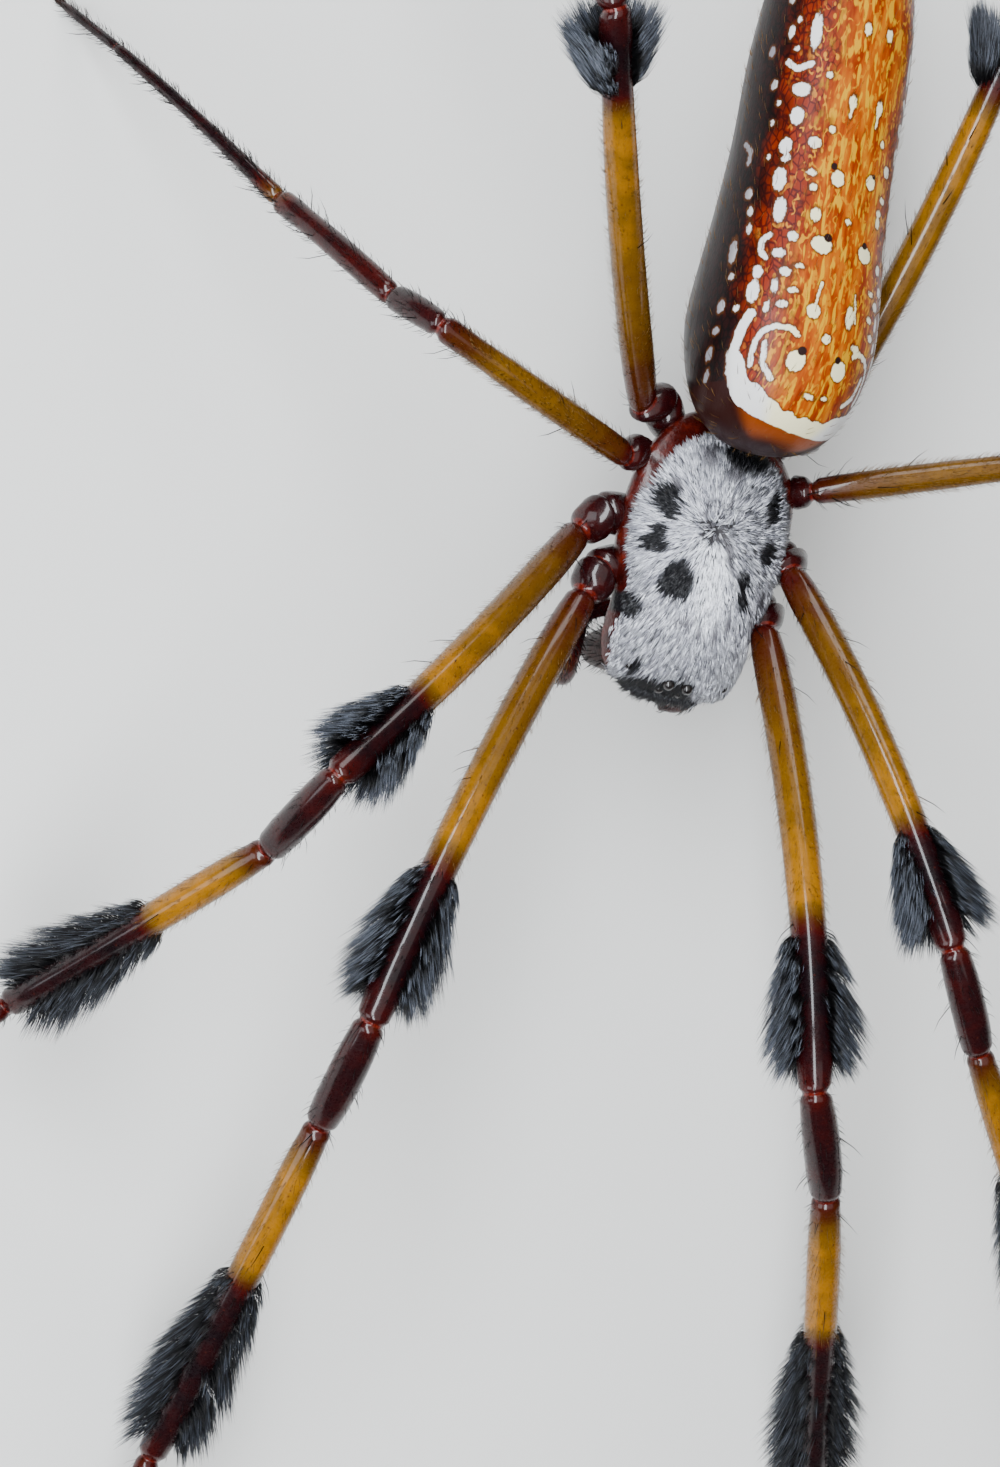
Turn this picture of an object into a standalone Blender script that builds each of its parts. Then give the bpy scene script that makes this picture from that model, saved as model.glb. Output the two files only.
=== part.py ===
"""Golden silk orb weaver: an adult female at life size, standing on eight feet.

Lengths are in millimetres and angles in degrees until new_object turns them into metres.
+Z is up, the head points along -Y, and the animal's left side is +X.
The body leans a little to its left, the nose dips, and the feet rest on flats at one level.
"""
import math
import random

import bmesh
import bpy
from mathutils import Matrix, Vector

MM = 0.001
UP = Vector((0.0, 0.0, 1.0))

# Stance: the fovea is the pit in the middle of the carapace
FOVEA = Vector((1.8, 3.45, 12.3))
BODY_ROLL = 12.0
CARAPACE_PITCH = 8.0
ABDOMEN_PITCH = 8.0
ABDOMEN_YAW = 2.4
GAP = 0.3
EYE_GAP = 0.07

# Cephalothorax: half width, crown and rim height along its length, from the fovea, nose at -Y
CARAPACE_HALF_WIDTHS = [(-6.5, 1.65), (-6.2, 2.38), (-5.5, 2.8), (-4.5, 2.9), (-3.6, 2.88), (-2.6, 3.2),
                        (-1.2, 3.5), (0.4, 3.5), (1.8, 3.2), (2.9, 2.45), (3.6, 1.6), (3.95, 0.7)]
CARAPACE_CROWN = [(-6.5, -0.55), (-6.2, -0.1), (-5.5, 0.45), (-4.5, 0.78), (-3.4, 0.72), (-2.0, 0.42),
                  (-0.8, 0.1), (0.0, -0.02), (1.2, -0.12), (2.4, -0.4), (3.3, -0.85), (3.95, -1.5)]
CARAPACE_RIM = [(-6.5, -1.15), (-5.5, -1.45), (-4.0, -1.5), (-2.6, -1.3), (0.0, -1.2), (2.5, -1.3),
                (3.95, -1.75)]
CARAPACE_SOLE = [(-6.5, -1.7), (-5.6, -1.95), (-4.6, -2.3), (-3.6, -3.2), (-2.8, -3.5), (1.8, -3.5),
                 (3.0, -3.2), (3.95, -2.1)]
CARAPACE_RINGS = [-6.5, -6.3, -5.9, -5.2, -4.4, -3.6, -2.8, -1.9, -0.8, 0.3, 1.3, 2.2, 3.0, 3.6, 3.95]
CARAPACE_SIDES = 22
CROWN_POWER = 2.3
UNDERSIDE_POWER = 1.45
SOLE_DEPTH = 1.12

# Eyes: name, sideways, forward, up and radius, from the fovea
EYES = [("front_middle", 0.42, -6.4, -0.72, 0.24), ("rear_middle", 0.4, -6.2, -0.12, 0.23),
        ("front_outer", 1.8, -6.2, -0.72, 0.2), ("rear_outer", 2.05, -5.85, -0.45, 0.2)]

# Jaws, fangs and palps, from the fovea
CHELICERA_TOP = Vector((0.98, -5.25, -2.0))
CHELICERA_TIP = Vector((0.88, -5.75, -5.5))
CHELICERA_PROFILE = [(0.0, 0.55), (0.1, 0.76), (0.3, 0.84), (0.6, 0.8), (0.85, 0.66), (0.97, 0.45),
                     (1.0, 0.25)]
FANG_BASE_RADIUS = 0.21
FANG_SWEEP = 75.0
FANG_BEND_RADIUS = 1.0
PALP_PATH = [(1.3, -3.95, -3.2), (2.0, -4.1, -3.5), (2.75, -4.6, -3.45), (2.95, -5.5, -3.25),
             (2.8, -6.3, -3.45), (2.5, -6.9, -4.05), (2.3, -7.2, -4.9)]
PALP_RADII = [0.3, 0.36, 0.34, 0.37, 0.36, 0.34, 0.15]

# Mouthparts raised on the underside: centre, half sizes
LABIUM = (Vector((0.0, -3.75, -3.25)), Vector((0.5, 0.55, 0.35)))
ENDITE = (Vector((0.95, -3.95, -3.1)), Vector((0.45, 0.75, 0.55)))
STERNUM_HUMP = (Vector((0.0, -2.2, -3.4)), Vector((0.7, 0.55, 0.3)))

# Two small horns just behind the fovea: place, height and radius at the foot
HORN = Vector((0.33, 0.05, -0.1))
HORN_HEIGHT = 0.42
HORN_RADIUS = 0.2

# Pedicel and abdomen
PEDICEL_START = Vector((0.0, 3.7, -1.95))
PEDICEL_END = Vector((-0.15, 5.35, -1.62))
PEDICEL_RADIUS = 0.5
ABDOMEN_POLE = Vector((-0.4, 2.9, 1.8))
ABDOMEN_LENGTH = 21.0
ABDOMEN_HALF_WIDTHS = [(4.2, 3.68), (7.5, 3.31), (11.0, 3.07), (15.0, 3.02), (21.0, 2.45)]
ABDOMEN_FLATTENING = 0.95
ABDOMEN_FRONT_DEPTH = 7.6
ABDOMEN_REAR_DEPTH = 4.6
ABDOMEN_FRONT_POWER = 2.9
ABDOMEN_REAR_POWER = 2.5
ABDOMEN_RINGS = 17
ABDOMEN_SIDES = 22

# Spinnerets: place along the abdomen, and each pair's side, lengthwise place, radius, length
SPINNERET_PLACE = 16.2
SPINNERET_PAIRS = [(0.52, -0.45, 0.36, 1.15), (0.3, 0.0, 0.22, 0.85), (0.52, 0.5, 0.33, 1.1)]
SPINNERET_BASE = (1.15, 1.05, 0.75)

# Legs: coxa start and joint with the trochanter from the fovea, lengths, and girth
TROCHANTER_LENGTH = 1.1
LEG_SIZES = {
    1: dict(coxa=(1.65, -2.2, -2.95), joint=(3.6, -2.85, -1.6), femur=18.2, patella=4.9, tibia=15.0,
            metatarsus=19.5, tarsus=5.0, girth=1.0),
    2: dict(coxa=(1.85, -0.5, -2.95), joint=(4.05, -0.75, -1.6), femur=15.8, patella=4.4, tibia=13.0,
            metatarsus=17.0, tarsus=4.5, girth=0.95),
    3: dict(coxa=(1.75, 1.2, -2.95), joint=(3.35, 1.75, -1.55), femur=9.2, patella=2.7, tibia=6.8,
            metatarsus=9.6, tarsus=3.6, girth=0.76),
    4: dict(coxa=(1.45, 2.8, -2.95), joint=(2.8, 3.65, -1.8), femur=17.5, patella=4.2, tibia=12.5,
            metatarsus=16.5, tarsus=4.5, girth=0.9),
}

# Pose: yaw from straight ahead towards the left, and rise; the foot's own rise follows from the floor
LEG_POSES = {
    (1, "right"): dict(trochanter=(-25, 10), femur=(-19, 11), patella=(-4, -38), tibia=(-8, -29),
                       foot=-12, bow=-0.38),
    (1, "left"): dict(trochanter=(-10, 50), femur=(9, 23), patella=(32, -33), tibia=(25, -37),
                      foot=22, bow=0.37),
    (2, "right"): dict(trochanter=(-40, -15), femur=(-39, 25), patella=(-21, -47), tibia=(-41, -45),
                       foot=-44, bow=0.15),
    (2, "left"): dict(trochanter=(-10, 60), femur=(26, 26), patella=(35, -21), tibia=(39, -24),
                      foot=42, bow=0.35),
    (3, "right"): dict(trochanter=(-60, 45), femur=(-107, 16), patella=(-125, -51), tibia=(-132, -44),
                       foot=-131, bow=0.1),
    (3, "left"): dict(trochanter=(100, 60), femur=(109, 12), patella=(114, -40), tibia=(118, -36),
                      foot=120, bow=0.0),
    (4, "right"): dict(trochanter=(-75, 35), femur=(-147, 40), patella=(-149, -8), tibia=(-152, -40),
                       foot=-154, bow=0.35),
    (4, "left"): dict(trochanter=(115, 0), femur=(166, 8), patella=(164, -10), tibia=(160, -24),
                      foot=157, bow=-0.3),
}
ARCH = 0.3
TARSUS_DIP = 7.0
FOOT_SINK = 0.12

# Radii along each segment as fractions of its length, for a leg of girth 1
COXA_PROFILE = [(0.0, 0.55), (0.12, 0.72), (0.45, 0.84), (0.8, 0.88), (1.0, 0.62)]
TROCHANTER_PROFILE = [(0.0, 0.5), (0.22, 0.8), (0.5, 0.86), (0.8, 0.78), (1.0, 0.5)]
FEMUR_PROFILE = [(0.0, 0.46), (0.03, 0.6), (0.1, 0.69), (0.25, 0.71), (0.45, 0.71), (0.65, 0.69),
                 (0.85, 0.64), (0.955, 0.68), (1.0, 0.46)]
PATELLA_PROFILE = [(0.0, 0.44), (0.1, 0.61), (0.62, 0.71), (0.88, 0.64), (1.0, 0.44)]
TIBIA_PROFILE = [(0.0, 0.44), (0.04, 0.54), (0.12, 0.62), (0.4, 0.64), (0.75, 0.6), (0.95, 0.62), (1.0, 0.42)]
METATARSUS_PROFILE = [(0.0, 0.38), (0.03, 0.47), (0.15, 0.42), (0.5, 0.34), (0.96, 0.29)]
TARSUS_PROFILE = [(0.06, 0.24), (0.45, 0.25), (0.88, 0.22), (1.0, 0.14)]
LEG_SIDES = 10
CUTTER_SIDES = 8
FOOT_SIDES = 8
CLAW_LENGTH = 0.55
CLAW_RADIUS = 0.09
CLAW_SPREAD = 0.12

# Tufts of long hair on the ends of femur and tibia: fraction where each starts and stops
TUFTS = {
    (1, "femur"): (0.66, 0.955), (1, "tibia"): (0.44, 0.96),
    (2, "femur"): (0.71, 0.955), (2, "tibia"): (0.43, 0.96),
    (4, "femur"): (0.8, 0.955), (4, "tibia"): (0.45, 0.96),
}

# Locks of a tuft: rows and columns, size, lean from the leg's axis, and width and thickness along them
LOCK_COLUMNS = 4
LOCK_BARE_ANGLE = 60.0
LOCK_ROW_STEP = 1.6
LOCK_LENGTH = 2.4
LOCK_ROW_SIZES = [(0.0, 0.72), (0.5, 1.0), (1.0, 0.85)]
LOCK_WIDTH = 1.15
LOCK_THICKNESS = 0.6
LOCK_ROOT_DEPTH = 0.33
LOCK_LEAN_AT_ROOT = 68.0
LOCK_LEAN_AT_TIP = 14.0
LOCK_PROFILE = [(0.0, 0.42, 0.75), (0.45, 1.0, 1.0), (0.75, 0.7, 0.85)]
LOCK_LENGTH_SPREAD = 0.1
LOCK_ANGLE_SPREAD = 6.0
LOCK_PLACE_SPREAD = 0.12
LOCK_CLEARANCE = 0.4


def rotation(axis, degrees):
    return Matrix.Rotation(math.radians(degrees), 4, axis)


def direction(yaw, rise):
    """Unit vector: yaw 0 looks ahead along -Y and turns towards +X, rise lifts it."""
    yaw, rise = math.radians(yaw), math.radians(rise)
    return Vector((math.sin(yaw) * math.cos(rise), -math.cos(yaw) * math.cos(rise), math.sin(rise)))


def frame_along(start, along):
    """Frame at start with +Z along the piece, +X level and +Y upward."""
    along = along.normalized()
    side = UP.cross(along).normalized()
    upward = along.cross(side)
    matrix = Matrix((side, upward, along)).transposed().to_4x4()
    matrix.translation = start
    return matrix


CARAPACE_FRAME = Matrix.Translation(FOVEA) @ rotation("Y", BODY_ROLL) @ rotation("X", CARAPACE_PITCH)
ABDOMEN_AXIS = direction(180.0 - ABDOMEN_YAW, -ABDOMEN_PITCH)
ABDOMEN_FRAME = frame_along(CARAPACE_FRAME @ ABDOMEN_POLE, ABDOMEN_AXIS) @ rotation("Z", BODY_ROLL + 2.0)


def mirrored(vector, side):
    """The same place on the animal's left or right side."""
    sign = 1.0 if side == "left" else -1.0
    return Vector((vector[0] * sign, vector[1], vector[2]))


def curve_value(points, place):
    """Smooth curve through (place, value) points, by cubic pieces with averaged slopes."""
    if place <= points[0][0]:
        return points[0][1]
    if place >= points[-1][0]:
        return points[-1][1]
    slopes = [(b[1] - a[1]) / (b[0] - a[0]) for a, b in zip(points, points[1:])]
    tangents = [slopes[0]] + [(a + b) / 2 for a, b in zip(slopes, slopes[1:])] + [slopes[-1]]
    index = next(i for i, (a, b) in enumerate(zip(points, points[1:])) if place <= b[0])
    (x0, y0), (x1, y1) = points[index], points[index + 1]
    span = x1 - x0
    t = (place - x0) / span
    first = (2 * t ** 3 - 3 * t ** 2 + 1) * y0 + (t ** 3 - 2 * t ** 2 + t) * span * tangents[index]
    second = (3 * t ** 2 - 2 * t ** 3) * y1 + (t ** 3 - t ** 2) * span * tangents[index + 1]
    return first + second


def loft(rings):
    """Closed mesh through rings of points with equal counts, first ring facing back."""
    mesh = bmesh.new()
    rows = [[mesh.verts.new(point) for point in ring] for ring in rings]
    count = len(rows[0])
    for lower, upper in zip(rows, rows[1:]):
        for i in range(count):
            j = (i + 1) % count
            mesh.faces.new((lower[i], lower[j], upper[j], upper[i]))
    mesh.faces.new(list(reversed(rows[0])))
    mesh.faces.new(rows[-1])
    bmesh.ops.recalc_face_normals(mesh, faces=mesh.faces)
    return mesh


def round_ring(centre, radius_x, radius_y, sides):
    """Ring in the local XY plane about centre."""
    angles = [2 * math.pi * i / sides for i in range(sides)]
    return [centre + Vector((radius_x * math.cos(a), radius_y * math.sin(a), 0.0)) for a in angles]


def tube(profile, length, girth, sides, bend=(0.0, 0.0), start=0.0, stop=0.0, swell=0.0):
    """Round tube along +Z with a sideways and upward bow, short of its ends by start and stop."""
    rings = []
    for fraction, radius in profile:
        place = start + fraction * (length - start - stop)
        bow = 4 * (place / length) * (1 - place / length)
        centre = Vector((bend[0] * bow, bend[1] * bow, place))
        size = radius * girth + swell
        rings.append(round_ring(centre, size, size, sides))
    for ring, shift in ((rings[0], -swell), (rings[-1], swell)):
        for point in ring:
            point.z += shift
    return loft(rings)


def mitre(mesh, place, tilt_normal, sides, first):
    """Shift the end ring along Z onto the plane through (0, 0, place) with this normal."""
    mesh.verts.ensure_lookup_table()
    ring = mesh.verts[:sides] if first else mesh.verts[-sides:]
    for vert in ring:
        vert.co.z = place - (tilt_normal.x * vert.co.x + tilt_normal.y * vert.co.y) / tilt_normal.z


def new_object(name, mesh, frame, material, smooth_angle=50.0):
    """Object from a mesh in millimetres, placed by a frame in millimetres."""
    data = bpy.data.meshes.new(name)
    bmesh.ops.scale(mesh, vec=(MM, MM, MM), verts=mesh.verts)
    mesh.to_mesh(data)
    mesh.free()
    data.shade_smooth()
    data.set_sharp_from_angle(angle=math.radians(smooth_angle))
    piece = bpy.data.objects.new(name, data)
    if material is not None:
        data.materials.append(material)
    placed = frame.copy()
    placed.translation = frame.translation * MM
    piece.matrix_world = placed
    bpy.context.collection.objects.link(piece)
    return piece


def new_material(name, colour, roughness):
    material = bpy.data.materials.new(name)
    material.use_nodes = True
    shader = material.node_tree.nodes["Principled BSDF"]
    shader.inputs["Base Color"].default_value = (*colour, 1.0)
    shader.inputs["Roughness"].default_value = roughness
    shader.inputs["Metallic"].default_value = 0.0
    return material


def boolean(body, pieces, operation, solver="EXACT"):
    """Fuse the pieces to the body, or cut them from it, and keep its largest closed surface."""
    group = bpy.data.collections.new("pieces")
    bpy.context.scene.collection.children.link(group)
    for piece in pieces:
        bpy.context.collection.objects.unlink(piece)
        group.objects.link(piece)
        piece.hide_render = True
        piece.display_type = "WIRE"
    modifier = body.modifiers.new("join", "BOOLEAN")
    modifier.operation = operation
    modifier.operand_type = "COLLECTION"
    modifier.collection = group
    modifier.solver = solver
    bpy.context.view_layer.update()
    depsgraph = bpy.context.evaluated_depsgraph_get()
    result = bpy.data.meshes.new_from_object(body.evaluated_get(depsgraph))
    body.modifiers.clear()
    body.data = result
    for piece in pieces:
        bpy.data.objects.remove(piece)
    bpy.data.collections.remove(group)
    keep_largest(body)


def keep_largest(body):
    """Delete every closed surface of the mesh but the one with most faces."""
    mesh = bmesh.new()
    mesh.from_mesh(body.data)
    unseen = set(mesh.faces)
    islands = []
    while unseen:
        seed = unseen.pop()
        island = {seed}
        edge_of_search = [seed]
        while edge_of_search:
            face = edge_of_search.pop()
            for edge in face.edges:
                for neighbour in edge.link_faces:
                    if neighbour in unseen:
                        unseen.remove(neighbour)
                        island.add(neighbour)
                        edge_of_search.append(neighbour)
        islands.append(island)
    islands.sort(key=len)
    for island in islands[:-1]:
        bmesh.ops.delete(mesh, geom=list(island), context="FACES")
    loose = [vert for vert in mesh.verts if not vert.link_faces]
    bmesh.ops.delete(mesh, geom=loose, context="VERTS")
    mesh.to_mesh(body.data)
    mesh.free()


def ellipsoid(centre, half_sizes, segments=10, rings=6):
    mesh = bmesh.new()
    bmesh.ops.create_uvsphere(mesh, u_segments=segments, v_segments=rings, radius=1.0)
    bmesh.ops.scale(mesh, vec=half_sizes, verts=mesh.verts)
    bmesh.ops.translate(mesh, vec=centre, verts=mesh.verts)
    return mesh


def carapace_ring(place):
    """Cross-section of the cephalothorax: a flat arch above the rim, a keel cut off by the sternum below."""
    half = curve_value(CARAPACE_HALF_WIDTHS, place)
    crown = curve_value(CARAPACE_CROWN, place)
    rim = curve_value(CARAPACE_RIM, place)
    sole = curve_value(CARAPACE_SOLE, place)
    ring = []
    for i in range(CARAPACE_SIDES):
        angle = 2 * math.pi * i / CARAPACE_SIDES
        across, height = math.sin(angle), math.cos(angle)
        power = CROWN_POWER if height >= 0 else UNDERSIDE_POWER
        x = half * math.copysign(abs(across) ** (2 / power), across)
        if height >= 0:
            z = rim + (crown - rim) * height ** (2 / power)
        else:
            z = max(sole, rim - SOLE_DEPTH * (rim - sole) * (-height) ** (2 / power))
        ring.append(Vector((x, place, z)))
    return ring


def cephalothorax(material):
    shell = loft([carapace_ring(place) for place in CARAPACE_RINGS])
    body = new_object("cephalothorax", shell, CARAPACE_FRAME, material)
    mouthparts = [ellipsoid(*LABIUM), ellipsoid(*STERNUM_HUMP)]
    mouthparts += [ellipsoid(mirrored(ENDITE[0], side), ENDITE[1]) for side in ("left", "right")]
    raised = [new_object("mouthpart", mesh, CARAPACE_FRAME, None) for mesh in mouthparts]
    for side in ("left", "right"):
        foot_place = mirrored(HORN, side)
        profile = [(0.0, HORN_RADIUS), (0.6, HORN_RADIUS * 0.75), (1.0, HORN_RADIUS * 0.3)]
        tip = foot_place + Vector((0.0, 0.12, HORN_HEIGHT))
        raised.append(line_tube("horn", foot_place, tip, profile, None, CARAPACE_FRAME, sides=6))
    boolean(body, raised, "UNION")
    return body


def eye_centre(eye, side):
    return mirrored(Vector(eye[1:4]), side)


def eyes(material):
    for eye in EYES:
        for side in ("left", "right"):
            mesh = bmesh.new()
            bmesh.ops.create_icosphere(mesh, subdivisions=2, radius=eye[4])
            frame = CARAPACE_FRAME @ Matrix.Translation(eye_centre(eye, side))
            new_object(f"eye_{eye[0]}_{side}", mesh, frame, material, 180.0)


def eye_sockets():
    cutters = []
    for eye in EYES:
        for side in ("left", "right"):
            mesh = bmesh.new()
            bmesh.ops.create_uvsphere(mesh, u_segments=8, v_segments=5, radius=eye[4] + EYE_GAP)
            frame = CARAPACE_FRAME @ Matrix.Translation(eye_centre(eye, side))
            cutters.append(new_object("socket", mesh, frame, None))
    return cutters


def line_tube(name, start, end, profile, material, frame, sides=10, swell=0.0):
    """Straight turned piece between two points given in a frame."""
    start, end = frame @ start, frame @ end
    length = (end - start).length
    mesh = tube(profile, length, 1.0, sides, swell=swell)
    return new_object(name, mesh, frame_along(start, end - start), material)


def chelicera(side, material, name, swell=0.0):
    top, tip = mirrored(CHELICERA_TOP, side), mirrored(CHELICERA_TIP, side)
    return line_tube(name, top, tip, CHELICERA_PROFILE, material, CARAPACE_FRAME, swell=swell)


def fang(side, material):
    """Curved fang folded inward and back under the chelicera."""
    inward = -1.0 if side == "left" else 1.0
    base = mirrored(CHELICERA_TIP, side) + Vector((0.0, -0.05, -GAP))
    rings = []
    steps = 5
    for i in range(steps + 1):
        turn = math.radians(FANG_SWEEP) * i / steps
        radius = FANG_BASE_RADIUS * (1 - 0.85 * (i / steps) ** 1.3)
        sideways = FANG_BEND_RADIUS * (1 - math.cos(turn))
        drop = FANG_BEND_RADIUS * math.sin(turn)
        centre = base + Vector((inward * 0.55 * sideways, 0.5 * sideways, -drop))
        rings.append(round_ring(centre, radius, radius, 8))
    return new_object(f"fang_{side}", loft(rings), CARAPACE_FRAME, material)


def path_tube(path, radii, sides):
    """Tube whose rings stand square to a path of points."""
    rings = []
    for i, point in enumerate(path):
        before, after = path[max(i - 1, 0)], path[min(i + 1, len(path) - 1)]
        frame = frame_along(point, after - before)
        rings.append([frame @ p for p in round_ring(Vector(), radii[i], radii[i], sides)])
    return loft(rings)


def palp(side, material, name, swell=0.0):
    path = [mirrored(point, side) for point in PALP_PATH]
    path[0] = path[0] + (path[0] - path[1]).normalized() * swell
    radii = [radius + swell for radius in PALP_RADII]
    return new_object(name, path_tube(path, radii, 8), CARAPACE_FRAME, material)


def pedicel(material, name, swell=0.0):
    shares = ((0.0, 0.8), (0.3, 1.0), (0.7, 1.0), (1.0, 0.8))
    profile = [(place, share * PEDICEL_RADIUS) for place, share in shares]
    return line_tube(name, PEDICEL_START, PEDICEL_END, profile, material, CARAPACE_FRAME, swell=swell)


def abdomen_radius(place):
    """Half width of the abdomen: a blunt front, a straight taper and a round rear end."""
    radius = curve_value(ABDOMEN_HALF_WIDTHS, place)
    if place < ABDOMEN_FRONT_DEPTH:
        out = 1 - place / ABDOMEN_FRONT_DEPTH
        radius *= (1 - out ** ABDOMEN_FRONT_POWER) ** (1 / ABDOMEN_FRONT_POWER)
    rear = ABDOMEN_LENGTH - ABDOMEN_REAR_DEPTH
    if place > rear:
        out = (place - rear) / ABDOMEN_REAR_DEPTH
        radius *= (1 - min(out, 1.0) ** ABDOMEN_REAR_POWER) ** (1 / ABDOMEN_REAR_POWER)
    return radius


def abdomen(material, name="abdomen", swell=0.0):
    rings = []
    for i in range(ABDOMEN_RINGS + 1):
        place = ABDOMEN_LENGTH * (0.5 - 0.5 * math.cos(math.pi * (i + 0.25) / (ABDOMEN_RINGS + 0.5)))
        radius = abdomen_radius(place) + swell
        centre = Vector((0.0, 0.0, place))
        rings.append(round_ring(centre, radius, radius * ABDOMEN_FLATTENING, ABDOMEN_SIDES))
    return new_object(name, loft(rings), ABDOMEN_FRAME, material)


def spinnerets(material):
    """Three pairs of cones fused to one low mound under the abdomen."""
    below = -abdomen_radius(SPINNERET_PLACE) * ABDOMEN_FLATTENING
    centre = Vector((0.0, below, SPINNERET_PLACE))
    width, length, depth = SPINNERET_BASE
    mound = new_object("spinnerets", ellipsoid(Vector(), Vector((width, depth, length)), 12, 8),
                       ABDOMEN_FRAME @ Matrix.Translation(centre), material)
    cones = []
    for sideways, lengthwise, radius, reach in SPINNERET_PAIRS:
        for sign in (-1.0, 1.0):
            start = centre + Vector((sideways * sign, -0.1, lengthwise))
            end = start + Vector((0.12 * sign, -reach, 0.25))
            profile = [(0.0, radius), (0.6, radius * 0.85), (1.0, radius * 0.5)]
            cones.append(line_tube("cone", start, end, profile, None, ABDOMEN_FRAME, sides=6))
    boolean(mound, cones, "UNION")
    boolean(mound, [abdomen(None, "cutter", GAP)], "DIFFERENCE")
    return mound


def coxa_pieces(number, side, swell, names, sides=LEG_SIDES):
    """Coxa and trochanter as two overlapping turned pieces."""
    sizes, pose = LEG_SIZES[number], LEG_POSES[(number, side)]
    start = CARAPACE_FRAME @ mirrored(sizes["coxa"], side)
    joint = CARAPACE_FRAME @ mirrored(sizes["joint"], side)
    outward = (joint - start).normalized()
    coxa = tube(COXA_PROFILE, (joint - start).length + 0.2, sizes["girth"], sides, swell=swell)
    pieces = [new_object(names[0], coxa, frame_along(start, outward), None)]
    along = direction(*pose["trochanter"])
    back = 0.45
    length = TROCHANTER_LENGTH + back - GAP / 2
    trochanter = tube(TROCHANTER_PROFILE, length, sizes["girth"], sides, swell=swell)
    frame = frame_along(joint - along * back, along)
    meeting = (along + direction(*pose["femur"])).normalized()
    mitre(trochanter, length + swell, frame.to_3x3().transposed() @ meeting, sides, False)
    pieces.append(new_object(names[1], trochanter, frame, None))
    return pieces


def segment(name, start, along, length, profile, girth, bend, planes, material, sides=LEG_SIDES):
    """One leg segment whose end faces lie in the mitre planes it shares with its neighbours."""
    frame = frame_along(start, along)
    mesh = tube(profile, length, girth, sides, bend, GAP / 2, GAP / 2)
    turn = frame.to_3x3().transposed()
    mitre(mesh, GAP / 2, turn @ planes[0], sides, True)
    mitre(mesh, length - GAP / 2, turn @ planes[1], sides, False)
    return new_object(name, mesh, frame, material)


def claws(frame, length):
    """Two small curved claws past the end of the tarsus."""
    pieces = []
    for sign in (-1.0, 1.0):
        path = [Vector((CLAW_SPREAD * 0.4 * sign, 0.0, length - 0.3)),
                Vector((CLAW_SPREAD * sign, 0.06, length + CLAW_LENGTH * 0.4)),
                Vector((CLAW_SPREAD * 1.3 * sign, -0.06, length + CLAW_LENGTH))]
        mesh = path_tube(path, [CLAW_RADIUS, CLAW_RADIUS * 0.8, CLAW_RADIUS * 0.3], 4)
        pieces.append(new_object("claw", mesh, frame, None))
    return pieces


def foot_ways(start, yaw, sizes):
    """Directions of metatarsus and tarsus that bring the foot's end down to the floor."""
    end_height = TARSUS_PROFILE[-1][1] * sizes["girth"] - FOOT_SINK
    slope = math.asin((start.z - end_height) / (sizes["metatarsus"] + sizes["tarsus"]))
    tarsus_rise = -math.degrees(slope) - TARSUS_DIP
    drop = start.z - end_height + sizes["tarsus"] * math.sin(math.radians(tarsus_rise))
    metatarsus_rise = -math.degrees(math.asin(drop / sizes["metatarsus"]))
    return direction(yaw, metatarsus_rise), direction(yaw, tarsus_rise)


def foot(name, start, ways, sizes, meeting, material):
    """Metatarsus and tarsus as one bent tube, with claws, on a small flat on the floor."""
    frame = frame_along(start, ways[0])
    length = sizes["metatarsus"]
    rings = []
    for fraction, radius in METATARSUS_PROFILE:
        bow = ARCH * 4 * fraction * (1 - fraction)
        centre = Vector((0.0, bow, GAP / 2 + fraction * (length - GAP / 2)))
        rings.append(round_ring(centre, radius * sizes["girth"], radius * sizes["girth"], FOOT_SIDES))
    toe_frame = frame_along(start + ways[0] * length, ways[1])
    to_local = frame.inverted() @ toe_frame
    for fraction, radius in TARSUS_PROFILE:
        centre = Vector((0.0, 0.0, fraction * sizes["tarsus"]))
        ring = round_ring(centre, radius * sizes["girth"], radius * sizes["girth"], FOOT_SIDES)
        rings.append([to_local @ point for point in ring])
    mesh = loft(rings)
    mitre(mesh, GAP / 2, frame.to_3x3().transposed() @ meeting, FOOT_SIDES, True)
    body = new_object(name, mesh, frame, material)
    boolean(body, claws(toe_frame, sizes["tarsus"]), "UNION")
    cut_at_floor(body)
    return body


def cut_at_floor(body):
    """Slice the piece at Z = 0 and close it with a flat."""
    mesh = bmesh.new()
    mesh.from_mesh(body.data)
    mesh.transform(body.matrix_world)
    geometry = mesh.verts[:] + mesh.edges[:] + mesh.faces[:]
    cut = bmesh.ops.bisect_plane(mesh, geom=geometry, plane_co=(0, 0, 0), plane_no=(0, 0, 1),
                                 clear_inner=True)
    edges = [item for item in cut["geom_cut"] if isinstance(item, bmesh.types.BMEdge)]
    bmesh.ops.holes_fill(mesh, edges=edges, sides=0)
    mesh.transform(body.matrix_world.inverted())
    mesh.to_mesh(body.data)
    mesh.free()


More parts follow.
